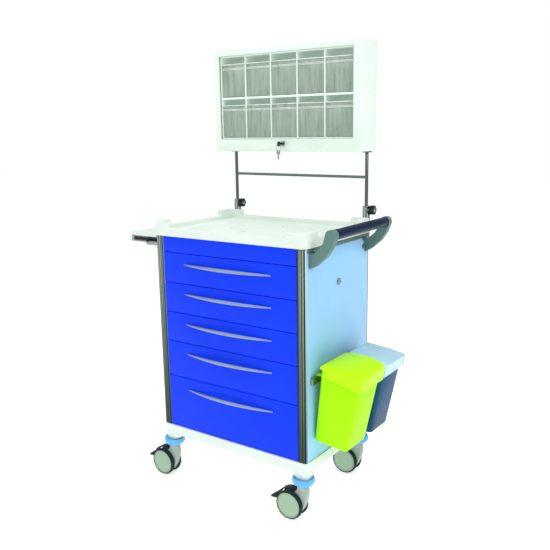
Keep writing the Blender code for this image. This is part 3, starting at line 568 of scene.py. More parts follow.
soften(top, 0.0030, 4)
fit(top, "cart", WHITE, "white_abs", "worktop")
print("worktop faces", len(top.data.polygons))

# %% [markdown]
# ## The base
# The base is the worktop's twin at the bottom: a skirt with a foot under each corner that takes a caster.
# Each foot draws in at its lower end, to nest in the caster's bumper ring.

# %% Base moulding
low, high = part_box("base_frame")
FOOT_DROP = 0.026
FOOT_LEN = 0.074
FOOT_INSET = 0.0006
STEM_IN = 0.0132
base = block("base_moulding", (low.x, low.y, low.z + FOOT_DROP), high)
round_corners(base, 0.024, 6)
hollow(base, lambda middle, face: face.normal.z < -0.9, 0.006, (0, 0, 0.026))
look_away()
for side_x in (-1, 1):
    for side_y in (-1, 1):
        corner = Vector((high.x if side_x > 0 else low.x, high.y if side_y > 0 else low.y, 0))
        corner -= Vector((side_x, side_y, 0)) * FOOT_INSET
        inner = corner - Vector((side_x, side_y, 0)) * FOOT_LEN
        foot_low = Vector((min(corner.x, inner.x), min(corner.y, inner.y), low.z))
        foot_high = Vector((max(corner.x, inner.x), max(corner.y, inner.y), high.z - 0.004))
        foot = block("foot", foot_low, foot_high)
        round_corners(foot, 0.0235, 6)
        nest = corner - Vector((side_x, side_y, 0)) * STEM_IN
        slice_at(foot, (0, 0, low.z + 0.018), (0, 0, 1))
        slice_at(foot, (0, 0, low.z + 0.007), (0, 0, 1))
        for up_to, size in ((0.0071, 0.76), (0.0001, 0.90)):
            pick(foot, "VERT", lambda middle, vert: middle.z < low.z + up_to)
            bpy.ops.transform.resize(value=(size, size, 1), center_override=nest)
        look_away()
        combine(base, foot)
soften(base, 0.0022, 3, 28)
fit(base, "cart", WHITE, "white_abs", "base_frame")
print("base faces", len(base.data.polygons))

# %% [markdown]
# ## Corner columns, panels and the blue fronts
# The four columns are cut from one aluminium extrusion, so each is the engineering shape with its sharp
# corners just broken. The side panels are flat sheets, the left one shorter to let the side shelf out.

# %% Columns and panels
for side in ("left", "right"):
    for end in ("front", "rear"):
        column = softened(f"column_{end}_{side}", f"column_bar_{end}_{side}", 0.0004, 2)
        fit(column, "cart", COLUMN, "aluminium", f"column_{end}_{side}")
    panel = softened(f"side_panel_{side}", f"side_sheet_{side}", 0.0012, 3)
    fit(panel, "cart", SKY, "blue_panel", f"side_panel_{side}")
back = softened("back_panel", "back_sheet", 0.0008, 2)
fit(back, "cart", CASE, "white_case", "back_panel")
for side in ("left", "right"):
    runner = softened(f"runner_frame_{side}", f"runner_plate_{side}", 0.0006, 2)
    fit(runner, "cart", ZINC, "zinc_steel", f"runner_frame_{side}")
print("columns, panels and runner plates done")

# %% [markdown]
# A drawer is a blue front on a pale tub that hangs on two runners. Front and tub are separate
# mouldings, so they are separate pieces here. The tub is a block whose top is inset and pushed down.

# %% Fascia and drawers
low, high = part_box("fascia")
FRONT_DEEP = high.y - low.y
fascia = soften(block("fascia_board", low, high), 0.0024, 4)
fit(fascia, "cart", ROYAL, "blue_front", "fascia")
TUB_HALF = 0.2615
TUB_WALL = 0.0016
for number in range(1, 6):
    low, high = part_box(f"drawer_{number}")
    body = f"drawer_{number}"
    front = soften(block(f"drawer_front_{number}", low, (high.x, low.y + FRONT_DEEP, high.z)), 0.0024, 4)
    fit(front, body, ROYAL, "blue_front", f"drawer_{number}")
    tub = block(f"drawer_tub_{number}", (centre.x - TUB_HALF, low.y + FRONT_DEEP - 0.003, low.z + 0.012),
                (centre.x + TUB_HALF, high.y, high.z - 0.022))
    round_corners(tub, 0.006, 4, lambda middle, edge: upright(middle, edge) and middle.y > low.y + 0.1)
    tub_depth = (high.z - 0.022) - (low.z + 0.014)
    hollow(tub, lambda middle, face: face.normal.z > 0.9, TUB_WALL, (0, 0, -tub_depth))
    look_away()
    soften(tub, 0.0006, 2)
    fit(tub, body, TUB, "white_abs")
    runners = []
    for side in (-1, 1):
        inner = centre.x + side * (TUB_HALF - 0.0003)
        outer = centre.x + side * (TUB_HALF + 0.0105)
        z = low.z + 0.012 + 0.018 + 0.0043
        rail = block("rail", (min(inner, outer), low.y + 0.030, z),
                     (max(inner, outer), high.y - 0.006, z + 0.009))
        groove(rail, lambda middle, face: face.normal.x * side > 0.9, 0.0022, -0.0020)
        look_away()
        runners.append(rail)
    rails = soften(join(f"drawer_rails_{number}", runners), 0.0005, 2)
    fit(rails, body, ZINC, "zinc_steel")
print("fascia and five drawers done")

# %% [markdown]
# Each handle is a crescent: thin where it meets the front and full in the middle, where fingers hook
# behind it. One cylinder lying along the front is sliced into rings, and each ring is scaled and
# slid out along the bow. It is made once and copied down the fronts.

# %% Drawer handles
low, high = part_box("drawer_1_handle")
HANDLE_HALF = (high.x - low.x) / 2
HANDLE_Z = (low.z + high.z) / 2
FACE_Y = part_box("drawer_1")[0].y
BOW_R = 0.0065
RINGS = 32
crescent = bar("handle_bow_1", (low.x, FACE_Y, HANDLE_Z), (high.x, FACE_Y, HANDLE_Z), BOW_R, 24)
for ring_number in range(1, RINGS):
    at = low.x + (high.x - low.x) * ring_number / RINGS
    slice_at(crescent, (at, 0, 0), (1, 0, 0))
for ring_number in range(RINGS + 1):
    at = low.x + (high.x - low.x) * ring_number / RINGS
    swell = 1 - ((at - centre.x) / HANDLE_HALF) ** 2
    deep = 0.0037 + 0.0048 * swell
    tall = 0.0048 + 0.0082 * swell
    reach_out = 0.0040 + (FACE_Y - low.y - 0.0040) * swell
    pick(crescent, "VERT", lambda middle, vert: abs(middle.x - at) < 0.0005)
    bpy.ops.transform.resize(value=(1, deep / (2 * BOW_R), tall / (2 * BOW_R)),
                             center_override=(at, FACE_Y, HANDLE_Z))
    bpy.ops.transform.translate(value=(0, deep / 2 - reach_out, 0))
look_away()
soften(crescent, 0.0008, 2)
handles = [crescent]
for number in range(2, 6):
    other_low, other_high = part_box(f"drawer_{number}_handle")
    lower = (other_low.z + other_high.z) / 2 - HANDLE_Z
    handles.append(copy_of(crescent, f"handle_bow_{number}", (0, 0, lower)))
for number, handle in enumerate(handles, 1):
    fit(handle, f"drawer_{number}", SILVER, "silver_handle", f"drawer_{number}_handle")

# %% [markdown]
# ## The side shelf
# A white board with a turned-down lip slides out at the left on two steel rails. Its catch, a small
# dark button low on the front rail, holds it out.

# %% Side shelf
low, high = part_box("side_shelf")
board = block("shelf_board", (low.x + 0.0002, low.y, high.z - 0.0080), (high.x - 0.004, high.y, high.z))
lip = block("lip", low, (low.x + 0.018, high.y, high.z - 0.0002))
combine(board, lip)
soften(board, 0.0022, 4)
fit(board, "side_shelf", WHITE, "white_abs", "side_shelf")
slides = []
channels = []
for side in (-1, 1):
    edge = high.y if side > 0 else low.y
    inner = edge - side * 0.0110
    slide = block("slide", (low.x + 0.016, min(edge, inner), low.z + 0.0012),
                  (high.x - 0.005, max(edge, inner), high.z - 0.0085))
    groove(slide, lambda middle, face: face.normal.y * side > 0.9, 0.0048, -0.0060)
    look_away()
    slides.append(slide)
    floor_of_slot = sorted((edge - side * 0.0058, edge - side * 0.0035))
    channels.append(block("channel", (low.x + 0.026, floor_of_slot[0], low.z + 0.0070),
                          (high.x - 0.014, floor_of_slot[1], high.z - 0.0145)))
    outside = sorted((edge + side * 0.0032, edge + side * 0.0066))
    slides.append(block("member", (low.x + 0.097, outside[0], low.z - 0.0064),
                        (low.x + 0.190, outside[1], low.z + 0.0075)))
shelf_rails = soften(join("shelf_slides", slides), 0.0006, 2)
fit(shelf_rails, "side_shelf", ZINC, "zinc_steel")
slots = soften(join("shelf_slide_slots", channels), 0.0004, 2)
fit(slots, "side_shelf", BLACK, "black_plastic")
catch = turned("shelf_catch", (low.x + 0.104, low.y + 0.0005, low.z + 0.0086), (0, -1, 0),
               [(0.0, 0.0074), (0.0058, 0.0074), (0.0074, 0.0062), (0.0080, 0.0040), (0.0080, 0.0),
                (0.0, 0.0)], 32)
fit(catch, "side_shelf", BLACK, "black_plastic")
print("shelf rails", [round(v, 3) for v in low])

# %% [markdown]
# ## The push handle
# A dark grip runs between two grey arms that sweep up from the side panel. Each arm is a thick blade.
# The front one covers the grip's end, and the grip goes through the rear one and ends in a dome.

# %% Grip and brackets
low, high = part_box("grip")
GRIP_R = (high.x - low.x) / 2 + 0.0010
grip_x = (low.x + high.x) / 2
grip_z = (low.z + high.z) / 2
start = low.y + 0.018
length = high.y - start
dome = [(GRIP_R, 0.0110), (GRIP_R - 0.0010, 0.0060), (GRIP_R - 0.0042, 0.0020), (0.0085, 0.0003), (0.0, 0.0)]
grip = turned("grip_tube", (grip_x, start, grip_z), (0, 1, 0),
              [(0.0, 0.0), (GRIP_R, 0.0)] + [(GRIP_R, length * share) for share in (0.25, 0.5, 0.75)]
              + [(r, length - h) for r, h in dome], 40)
fit(grip, "cart", NAVY, "black_grip", "grip")
root_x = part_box("side_panel_right")[1].x + 0.0005
ARM_TOP_R = 0.0182
blade_outline = [(root_x, grip_z - 0.108), (root_x + 0.022, grip_z - 0.098), (root_x + 0.061, grip_z - 0.064),
                 (root_x + 0.080, grip_z - 0.036), (root_x + 0.090, grip_z - 0.012)]
for step in range(9):
    angle = math.radians(-10 + 21 * step)
    blade_outline.append((grip_x + ARM_TOP_R * math.cos(angle), grip_z + ARM_TOP_R * math.sin(angle)))
blade_outline += [(root_x + 0.050, grip_z - 0.022), (root_x + 0.037, grip_z - 0.040),
                  (root_x + 0.018, grip_z - 0.056), (root_x, grip_z - 0.064)]
for end in ("front", "rear"):
    arm_low, arm_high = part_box(f"handle_bracket_{end}")
    near = arm_low.y - 0.0030 if end == "front" else arm_low.y
    arm = raised(f"handle_arm_{end}", [(x, near, z) for x, z in blade_outline], (0, arm_high.y - near, 0))
    if end == "rear":
        carve(arm, bar("bore", (grip_x, near - 0.01, grip_z), (grip_x, arm_high.y + 0.01, grip_z),
                       GRIP_R + 0.0002, 40))
    soften(arm, 0.0026, 4, 28)
    fit(arm, "cart", GREY, "grey_plastic", f"handle_bracket_{end}")
    foot_low, foot_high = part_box(f"handle_bracket_{end}")
    bolt_y = (foot_low.y + foot_high.y) / 2 + (0.019 if end == "front" else -0.019)
    bolts = []
    for drop in (0.017, 0.045):
        face = foot_low.x - 0.0001
        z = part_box("worktop")[0].z - drop
        bolts.append(turned("washer", (face, bolt_y, z), (1, 0, 0),
                            [(0.0, 0.0), (0.0076, 0.0), (0.0078, 0.0012), (0.0, 0.0014)], 32))
        head = bar("head", (face + 0.0012, bolt_y, z), (face + 0.0062, bolt_y, z), 0.0058, 6)
        bolts.append(soften(head, 0.0006, 2))
    fit(join(f"bracket_bolts_{end}", bolts), "cart", CHROME, "chrome")
# A thin dark strip along the top of the right side panel, under the worktop: painted shade from the worktop's
# overhang
panel_low, panel_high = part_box("side_panel_right")
shade_strip = block("side_shade_strip", (panel_high.x - 0.0003, panel_low.y + 0.004, panel_high.z - 0.0150),
             (panel_high.x + 0.0012, panel_high.y - 0.004, panel_high.z - 0.0004))
soften(shade_strip, 0.0004, 2)
fit(shade_strip, "cart", SHADE_STRIP, "aluminium")
print("grip length", round(length, 3))

# %% [markdown]
# ## The mast
# Two chrome uprights and a crossbar carry the cabinet. They slide in two sleeves on the rear columns,
# and a lobed knob on each sleeve clamps them at the height that is wanted.

# %% Uprights and crossbar
ROD_R = 0.006
BAR_R = 0.005
BAR_Z = 1.106
low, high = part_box("mast_frame")
mast_y = (low.y + high.y) / 2
left_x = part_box("clamp_left")[0].x + 0.0145
right_x = 2 * centre.x - left_x
parts = []
for x in (left_x, right_x):
    rod = bar("rod", (x, mast_y, low.z), (x, mast_y, high.z - 0.004), ROD_R, 32)
    groove(rod, lambda middle, face: face.normal.z < -0.9, 0.0015, 0.0012)
    look_away()
    parts.append(soften(rod, 0.0008, 2))
    flange = block("flange", (x - 0.013, mast_y - 0.015, high.z - 0.0045),
                   (x + 0.013, mast_y + 0.015, high.z))
    round_corners(flange, 0.004, 4)
    look_away()
    parts.append(soften(flange, 0.0008, 2))
cross = bar("cross", (left_x, mast_y, BAR_Z), (right_x, mast_y, BAR_Z), BAR_R, 32)
parts.append(smooth(cross))
uprights = join("mast_uprights", parts)
fit(uprights, "mast", TUBE, "chrome", "mast_frame")
print("mast half width", round(right_x - centre.x, 4))

# %% Clamps and knobs
SLEEVE_R = 0.0130
BOSS_Z = 0.992
KNOB_R = 0.0165
NOTCH_OUT = 0.0195
FOOT_TOP_Z = 0.906
for side, x in (("left", left_x), ("right", right_x)):
    low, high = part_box(f"clamp_{side}")
    tall = high.z - low.z
    sleeve = turned("sleeve", (x, mast_y, low.z), (0, 0, 1),
                    [(0.0064, 0.0), (0.0118, 0.0), (SLEEVE_R, 0.0012), (SLEEVE_R, tall - 0.016),
                     (0.0122, tall - 0.0145), (SLEEVE_R, tall - 0.013), (SLEEVE_R, tall - 0.0012),
                     (0.0118, tall), (0.0064, tall), (0.0064, 0.0)], 40)
    foot = block("foot", (x - 0.0125, low.y, low.z + 0.004), (x + 0.0125, mast_y - 0.011, FOOT_TOP_Z))
    soften(foot, 0.0015, 3)
    boss = bar("boss", (x + 0.011, mast_y, BOSS_Z), (x + 0.0165, mast_y, BOSS_Z), 0.0068, 24)
    soften(boss, 0.0006, 2)
    clamp = join(f"clamp_sleeve_{side}", [sleeve, foot, boss])
    fit(clamp, "cart", CHROME, "chrome", f"clamp_{side}")
    low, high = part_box(f"clamp_knob_{side}")
    middle_y = (low.y + high.y) / 2
    middle_z = (low.z + high.z) / 2
    knob = bar(f"lobed_knob_{side}", (low.x, middle_y, middle_z), (high.x, middle_y, middle_z), KNOB_R, 48)
    for lobe in range(6):
        angle = math.radians(30 + 60 * lobe)
        notch_y = middle_y + NOTCH_OUT * math.cos(angle)
        notch_z = middle_z + NOTCH_OUT * math.sin(angle)
        notch = bar("notch", (low.x - 0.01, notch_y, notch_z), (high.x + 0.01, notch_y, notch_z), 0.0056, 24)
        carve(knob, notch)
    soften(knob, 0.0016, 3)
    fit(knob, f"clamp_knob_{side}", BLACK, "black_plastic", f"clamp_knob_{side}")
    cap = turned(f"knob_cap_{side}", (high.x - 0.0012, middle_y, middle_z), (1, 0, 0),
                 [(0.0, 0.0034), (0.0040, 0.0032), (0.0062, 0.0020), (0.0068, 0.0), (0.0, 0.0)], 32)
    fit(cap, f"clamp_knob_{side}", CHROME, "chrome")
print("clamps done")

# %% [markdown]
# ## The cabinet
# The cabinet is a white case with a frame hung over its front. The case is a block whose front is pushed
# in, and a rack of thin sheets inside it makes the ten bays. The frame's window is cut with a tapered
# block, so a bright bevel runs round it, and a round hole under the window takes the lock.

# %% Cabinet case and front frame
low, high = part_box("cabinet_housing")
case = block("cabinet_case", low, high)
hollow(case, lambda middle, face: face.normal.y < -0.9, 0.003, (0, high.y - low.y - 0.004, 0))
look_away()
soften(case, 0.0009, 2)
fit(case, "mast", CASE, "white_case", "cabinet_housing")
CASE_FRONT = low.y
low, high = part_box("cabinet_door")
bin_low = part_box("tilt_bin_lower_1")[0]
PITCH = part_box("tilt_bin_lower_2")[0].x - bin_low.x
WINDOW_HALF = 2.5 * PITCH
WINDOW_LOW = bin_low.z - 0.001
WINDOW_HIGH = high.z - 0.024
DOOR_FRONT = low.y
LOCK_Z = (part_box("cabinet_lock")[0].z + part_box("cabinet_lock")[1].z) / 2
row_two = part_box("tilt_bin_upper_1")[0].z - 0.001
row_one_top = row_two - 0.007
rack_back = CASE_FRONT + 0.112
HALF_SHEET = 0.0022
sheets = []
for divider in range(6):
    x = centre.x + (divider - 2.5) * PITCH
    sheets.append(block("divider", (x - HALF_SHEET, CASE_FRONT + 0.0035, WINDOW_LOW - 0.003),
                        (x + HALF_SHEET, rack_back, WINDOW_HIGH + 0.003)))
levels = ((WINDOW_LOW - 0.004, WINDOW_LOW), (row_one_top, row_two), (WINDOW_HIGH, WINDOW_HIGH + 0.004))
for level_low, level_high in levels:
    sheets.append(block("shelf", (centre.x - WINDOW_HALF - 0.0025, CASE_FRONT + 0.0030, level_low),
                        (centre.x + WINDOW_HALF + 0.0025, rack_back + 0.0005, level_high)))
sheets.append(block("rack_back", (centre.x - WINDOW_HALF - 0.003, rack_back - 0.001, WINDOW_LOW - 0.0045),
                    (centre.x + WINDOW_HALF + 0.003, rack_back + 0.003, WINDOW_HIGH + 0.0045)))
rack = soften(join("cabinet_rack", sheets), 0.0006, 2)
fit(rack, "mast", RACK, "white_case")
door = block("cabinet_frame", low, high)
window = block("window", (centre.x - WINDOW_HALF, low.y - 0.004, WINDOW_LOW),
               (centre.x + WINDOW_HALF, high.y + 0.010, WINDOW_HIGH))
middle_z = (WINDOW_LOW + WINDOW_HIGH) / 2
pick(window, "VERT", lambda middle, vert: middle.y < low.y)
bpy.ops.transform.resize(value=(1.022, 1, 1.045), center_override=(centre.x, 0, middle_z))
look_away()
carve(door, window)
hole = bar("hole", (centre.x, low.y - 0.01, LOCK_Z), (centre.x, high.y + 0.01, LOCK_Z), 0.0085, 32)
carve(door, hole)
soften(door, 0.0009, 2)
fit(door, "cabinet_door", CASE, "white_case", "cabinet_door")
print("window", round(2 * WINDOW_HALF, 3), "by", round(WINDOW_HIGH - WINDOW_LOW, 3))

# %% [markdown]
# A tilt bin is a thin clear box with a lip to pull on. Its side outline is drawn and pulled across the
# bin's width, the top is taken off, and the walls are given their thickness. Two small ridges run
# across the front under the lip. One bin is made and copied to the ten bays.

# %% Tilt bins
low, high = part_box("tilt_bin_lower_1")
front_y = low.y + 0.0045
outline = [(front_y + 0.0022, low.z), (high.y, low.z + 0.003), (high.y, low.z + 0.088),
           (front_y, high.z), (front_y, low.z + 0.003)]
shell = raised("tilt_bin_shell", [(low.x, y, z) for y, z in outline], (high.x - low.x, 0, 0))
pick(shell, "FACE", lambda middle, face: face.normal.z > 0.5)
bpy.ops.mesh.delete(type="FACE")
look_away()
apply(shell, "SOLIDIFY", thickness=0.0020, offset=-1.0, use_even_offset=True)
lip = block("lip", (low.x + 0.0004, low.y, high.z - 0.0030),
            (high.x - 0.0004, front_y + 0.0015, high.z - 0.0002))
ridges = [lip]
for drop in (0.0145, 0.0185):
    ridges.append(block("ridge", (low.x + 0.0004, front_y - 0.0016, high.z - drop - 0.0019),
                        (high.x - 0.0004, front_y + 0.0015, high.z - drop)))
shell.name = "clear_bin_lower_1"
first_bin = soften(shell, 0.0005, 2)
first_lip = soften(join("bin_lip_lower_1", ridges), 0.0005, 2)
pivot_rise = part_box("tilt_bin_upper_1")[0].z - low.z
for row, rise in (("lower", 0.0), ("upper", pivot_rise)):
    for column in range(1, 6):
        if row == "lower" and column == 1:
            clear_bin = first_bin
            bin_lip = first_lip
        else:
            clear_bin = copy_of(first_bin, f"clear_bin_{row}_{column}", ((column - 1) * PITCH, 0, rise))
            bin_lip = copy_of(first_lip, f"bin_lip_{row}_{column}", ((column - 1) * PITCH, 0, rise))
        # The lip's paler finish is a painted highlight
        fit(bin_lip, f"tilt_bin_{row}_{column}", LIP_HIGHLIGHT, "clear_plastic")
        fit(clear_bin, f"tilt_bin_{row}_{column}", CLEAR, "clear_plastic", f"tilt_bin_{row}_{column}")
print("tilt bins at a pitch of", round(PITCH, 4))

# %% [markdown]
# The lock's barrel is turned, and its key stands in it with a spare key hanging from the ring.

# %% Cabinet lock and keys
low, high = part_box("cabinet_lock")
LOCK = Vector((centre.x, DOOR_FRONT, LOCK_Z))
barrel = turned("barrel", LOCK, (0, 1, 0),
                [(0.0, -0.0022), (0.0050, -0.0022), (0.0056, -0.0034), (0.0088, -0.0034), (0.0099, -0.0026),
                 (0.0100, -0.0004), (0.0082, -0.0004), (0.0082, 0.0158), (0.0, 0.0158)], 40)
cam = block("cam", (LOCK.x - 0.005, LOCK.y + 0.0126, LOCK.z - 0.005),
            (LOCK.x + 0.020, LOCK.y + 0.0150, LOCK.z + 0.005))
round_corners(cam, 0.0045, 5, lambda middle, edge: middle.x > LOCK.x + 0.015
              and abs(middle.z - LOCK.z) > 0.004 and abs((edge.verts[0].co - edge.verts[1].co).y) > 0.002)
look_away()
lock = join("lock_barrel", [barrel, cam])
fit(lock, "cabinet_lock", CHROME, "chrome", "cabinet_lock")
EYE_Y = low.y + 0.005
blade = block("blade", (LOCK.x - 0.0010, low.y + 0.014, LOCK.z - 0.0034),
              (LOCK.x + 0.0010, LOCK.y - 0.0020, LOCK.z + 0.0034))
head = block("head", (LOCK.x - 0.0013, low.y, LOCK.z - 0.0095),
             (LOCK.x + 0.0013, low.y + 0.0160, LOCK.z + 0.0080))
round_corners(head, 0.0050, 5, lambda middle, edge: abs((edge.verts[0].co - edge.verts[1].co).x) > 0.002)
look_away()
eye = bar("eye", (LOCK.x - 0.01, EYE_Y, LOCK.z - 0.004), (LOCK.x + 0.01, EYE_Y, LOCK.z - 0.004), 0.0021, 20)
carve(head, eye)
key = soften(join("cabinet_key", [blade, head]), 0.0004, 2)
fit(key, "cabinet_lock", BLACK, "black_plastic")
look_away()
bpy.ops.mesh.primitive_torus_add(
    major_radius=0.0100, minor_radius=0.0007, major_segments=40, minor_segments=10,
    location=(LOCK.x, EYE_Y, LOCK.z - 0.0130), rotation=(math.pi / 2, 0, 0),
)
ring = settle(bpy.context.object, "key_ring_loop")
spare = block("spare", (LOCK.x - 0.0075, low.y + 0.0042, LOCK.z - 0.0385),
              (LOCK.x + 0.0075, low.y + 0.0060, LOCK.z - 0.0215))
round_corners(spare, 0.0050, 5, lambda middle, edge: abs((edge.verts[0].co - edge.verts[1].co).y) > 0.001)
look_away()
shank = block("shank", (LOCK.x - 0.0030, low.y + 0.0044, LOCK.z - 0.0550),
              (LOCK.x + 0.0030, low.y + 0.0058, LOCK.z - 0.0380))
spare_eye = bar("eye", (LOCK.x, low.y - 0.01, LOCK.z - 0.0250), (LOCK.x, low.y + 0.02, LOCK.z - 0.0250),
                0.0022, 20)
carve(spare, spare_eye)
soften(spare, 0.0004, 2)
soften(shank, 0.0004, 2)
keys = smooth(join("spare_key", [ring, spare, shank]))
fit(keys, "cabinet_lock", CHROME, "chrome")
print("lock at", [round(v, 3) for v in LOCK])

# %% [markdown]
# ## The side lock and the bin hanger
# A small turned lock in the right side locks the drawers. Below it a steel flat on three stand-offs
# carries the two waste bins.

# %% Drawer lock and hanger
low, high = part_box("drawer_lock")
lock_y = (low.y + high.y) / 2
lock_z = (low.z + high.z) / 2
side_lock = turned("side_lock_barrel", (low.x, lock_y, lock_z), (1, 0, 0),
                   [(0.0, 0.0), (0.0103, 0.0), (0.0105, 0.0010), (0.0105, 0.0036), (0.0098, 0.0046),
                    (0.0082, 0.0052), (0.0076, 0.0068), (0.0068, 0.0070), (0.0, 0.0070)], 40)
slot_cut = block("slot", (low.x + 0.0052, lock_y - 0.0009, lock_z - 0.0036),
                 (high.x + 0.01, lock_y + 0.0009, lock_z + 0.0036))
carve(side_lock, slot_cut)
smooth(side_lock)
fit(side_lock, "drawer_lock", CHROME, "chrome", "drawer_lock")
hanger = softened("bin_hanger", "hanger_bar", 0.0008, 2)
fit(hanger, "cart", ZINC, "zinc_steel", "bin_hanger")
print("side lock and hanger done")

# %% [markdown]
# ## Waste bins
# Each bin is a tapered bucket with two hooks, hung so that it leans out. Its lid is a cap with a skirt.
# The lime bin's lid is domed and the slate bin's is a flat, milky sheet.

# %% Waste bins and lids
# The lime lid wears the lighter copy of the lime, painted light from above
for colour, finish, lid_finish, slot_name, lid_slot in (
        ("yellow", LIME, LIME_LID_LIT, "yellow_plastic", "yellow_plastic"),
        ("blue", SLATE, PALE, "slate_plastic", "pale_blue_plastic")):
    bucket = softened(f"{colour}_bin", f"{colour}_bucket", 0.0012, 2)
    fit(bucket, "cart", finish, slot_name, f"{colour}_bin")
    cap = softened(f"{colour}_lid", f"{colour}_cap", 0.0016, 3, 24)
    fit(cap, f"{colour}_lid", lid_finish, lid_slot, f"{colour}_lid")
print("waste bins done")

# %% [markdown]
# ## Casters
# A twin-wheel caster has a fork between its wheels, a fairing, and a soft ring that meets walls before
# the cart does. The ring and wheels are spun, as they would be turned on a lathe. The fork's outline is
# drawn and pulled across its width.

# %% Casters
AXLE_Z = (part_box("wheels_front_left")[0].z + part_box("wheels_front_left")[1].z) / 2
LEG_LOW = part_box("base_frame")[0].z
NECK_Z = LEG_LOW - 0.029
TRAIL = 0.045
HALF_FORK = 0.0108
fork_outline = [(0.0165, NECK_Z), (0.0185, AXLE_Z + 0.060), (0.0175, AXLE_Z + 0.038),
                (0.0120, AXLE_Z + 0.016), (0.0030, AXLE_Z - 0.007), (-0.0110, AXLE_Z - 0.024),
                (-0.0300, AXLE_Z - 0.0315),
                (-0.0500, AXLE_Z - 0.030), (-0.0660, AXLE_Z - 0.018), (-0.0720, AXLE_Z),
                (-0.0660, AXLE_Z + 0.020), (-0.0500, AXLE_Z + 0.032), (-0.0320, AXLE_Z + 0.042),
                (-0.0200, AXLE_Z + 0.058), (-0.0165, NECK_Z)]
for end in ("front", "rear"):
    for side in ("left", "right"):
        tag = f"{end}_{side}"
        low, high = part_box(f"wheels_{tag}")
        axle = (low + high) / 2
        stem = Vector((axle.x + TRAIL, axle.y, 0))
        fork = raised(f"fork_{tag}", [(stem.x + a, stem.y - HALF_FORK, z) for a, z in fork_outline],
                      (0, 2 * HALF_FORK, 0))
        bore = bar("bore", (axle.x, axle.y - 0.05, AXLE_Z), (axle.x, axle.y + 0.05, AXLE_Z), 0.0052, 24)
        carve(fork, bore)
        soften(fork, 0.0018, 3, 28)
        neck = turned("neck", (stem.x, stem.y, 0), (0, 0, 1),
                      [(0.0, LEG_LOW - 0.0440), (0.0158, LEG_LOW - 0.0440), (0.0165, LEG_LOW - 0.0300),
                       (0.0190, LEG_LOW - 0.0260), (0.0190, LEG_LOW - 0.0240), (0.0, LEG_LOW - 0.0240)], 40)
        pin = bar("pin", (stem.x, stem.y, LEG_LOW - 0.010), (stem.x, stem.y, LEG_LOW + 0.026), 0.0054, 24)
        soften(pin, 0.0008, 2)
        fairing = join(f"caster_fairing_{tag}", [fork, neck, pin])
        fit(fairing, f"caster_{tag}", FAIRING, "caster_body", f"caster_{tag}")
        bumper = turned(f"bumper_ring_{tag}", (stem.x, stem.y, LEG_LOW), (0, 0, 1),
                        [(0.0060, -0.0012), (0.0290, -0.0012), (0.0335, 0.0010), (0.0350, 0.0028),
                         (0.0362, 0.0026), (0.0380, -0.0030), (0.0385, -0.0075), (0.0378, -0.0120),
                         (0.0345, -0.0175),
                         (0.0285, -0.0225), (0.0215, -0.0265), (0.0180, -0.0280), (0.0060, -0.0280),
                         (0.0060, -0.0012)], 56)
        fit(bumper, f"caster_{tag}", RING, "blue_panel")
        half = [(0.0440, 0.0262), (0.0446, 0.0276), (0.0464, 0.0278), (0.0484, 0.0250), (0.0497, 0.0214),
                (0.0500, 0.0190), (0.0497, 0.0146), (0.0486, 0.0124), (0.0455, 0.0119), (0.0440, 0.0119)]
        tyres = []
        for way in (-1, 1):
            tyres.append(turned("tyre", (axle.x, axle.y, AXLE_Z), (0, 1, 0),
                                [(r, way * h) for r, h in half + half[:1]], 64))
        tyre = join(f"tyres_{tag}", tyres)
        fit(tyre, f"wheels_{tag}", RUBBER, "tyre", f"wheels_{tag}")
        discs = []
        for way in (-1, 1):
            profile = [(0.0, 0.0270), (0.0120, 0.0270), (0.0380, 0.0268), (0.0398, 0.0264), (0.0402, 0.0250),
                       (0.0408, 0.0250), (0.0412, 0.0268), (0.0430, 0.0270), (0.0441, 0.0262),
                       (0.0441, 0.0122), (0.0, 0.0122)]
            discs.append(turned("disc", (axle.x, axle.y, AXLE_Z), (0, 1, 0),
                                [(r, way * h) for r, h in profile], 64))
        axle_pin = bar("axle", (axle.x, axle.y - 0.0124, AXLE_Z), (axle.x, axle.y + 0.0124, AXLE_Z),
                       0.0044, 24)
        covers = join(f"wheel_covers_{tag}", discs + [axle_pin])
        fit(covers, f"wheels_{tag}", COVER, "grey_plastic")
for side in ("left", "right"):
    pedal = softened(f"brake_pedal_{side}", f"pedal_{side}", 0.0012, 3, 28)
    fit(pedal, f"brake_pedal_{side}", BLACK, "black_plastic", f"brake_pedal_{side}")
print("casters done, axle height", round(AXLE_Z, 4))

# %% [markdown]
# ## The studio
# The cart stands on a plain pale floor in soft, even light, against white. Three large soft lights, from
# the front left, the right and overhead, shape the corners, and the pale surroundings fill the rest.

# %% Floor
look_away()
bpy.ops.mesh.primitive_plane_add(size=40, location=(0, 0, 0))
floor = settle(bpy.context.object, "studio_floor")
pale = Finish("pale_floor")
pale.colour(pale.mix(pale.remap(pale.noise(3.0, 2.0), 0.3, 0.7), (0.93, 0.93, 0.93), (0.97, 0.97, 0.97)))
pale.set(Roughness=0.9, Specular_IOR_Level=0.1, Emission_Color=(1, 1, 1, 1), Emission_Strength=0.48)
wear(floor, pale.mat)
print("floor laid")


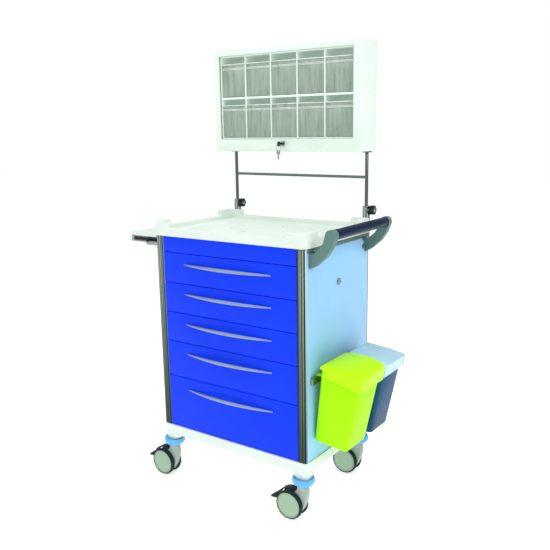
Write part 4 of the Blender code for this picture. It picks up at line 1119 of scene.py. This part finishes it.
# %% Lights and world
def soft_light(name, size, power, place, target, colour=(1, 1, 1)):
    """A square area light aimed at a point."""
    data = bpy.data.lights.new(name, "AREA")
    data.shape = "SQUARE"
    data.size = size
    data.energy = power
    data.color = colour
    lamp = bpy.data.objects.new(name, data)
    scene.collection.objects.link(lamp)
    lamp.location = place
    lamp.rotation_euler = (Vector(target) - Vector(place)).to_track_quat("-Z", "Y").to_euler()
    return lamp


soft_light("key", 2.6, 26, (-2.2, -3.4, 2.6), (0, 0, 0.7))
soft_light("side", 2.0, 44, (3.3, -0.7, 2.9), (0.1, 0, 0.6))
soft_light("overhead", 3.0, 62, (-0.1, -0.5, 4.0), (0, 0, 0.5))
world = bpy.data.worlds.new("studio")
world.use_nodes = True
scene.world = world
tree = world.node_tree
background = tree.nodes["Background"]
path = tree.nodes.new("ShaderNodeLightPath")
tone = tree.nodes.new("ShaderNodeMix")
tone.data_type = "RGBA"
tone.inputs[6].default_value = (0.54, 0.58, 0.565, 1)
tone.inputs[7].default_value = (1.0, 1.0, 1.0, 1)
tree.links.new(path.outputs["Is Camera Ray"], tone.inputs[0])
tree.links.new(tone.outputs[2], background.inputs["Color"])
background.inputs["Strength"].default_value = 1.0
scene.view_settings.view_transform = "Standard"
print("lights:", len(bpy.data.lights))

# %% [markdown]
# The camera stands at the height of the cabinet, a little over two metres off to the front right, and looks
# slightly down, so the front, the right side and the tray all show.

# %% Camera
yaw = math.radians(34.87)
pitch = math.radians(11.97)
roll = math.radians(-0.92)
forward = Vector((-math.sin(yaw) * math.cos(pitch), math.cos(yaw) * math.cos(pitch), -math.sin(pitch)))
right = Vector((math.cos(yaw), math.sin(yaw), 0))
up = right.cross(forward)
tilted_right = math.cos(roll) * right + math.sin(roll) * up
tilted_up = -math.sin(roll) * right + math.cos(roll) * up
camera = bpy.data.objects.new("studio_camera", bpy.data.cameras.new("studio_camera"))
camera.data.lens = 45.39
camera.data.sensor_width = 36
scene.collection.objects.link(camera)
turn = Matrix((tilted_right, tilted_up, -forward)).transposed().to_4x4()
camera.matrix_world = Matrix.Translation((1.4111, -1.9730, 1.2792)) @ turn
camera.data.shift_x = 0.0014
scene.camera = camera
print("camera set")

# %% [markdown]
# ## Last update
# The finished cart must fill the same box as its engineering model. The view layer is brought up to date.

# %% Update
bpy.context.view_layer.update()
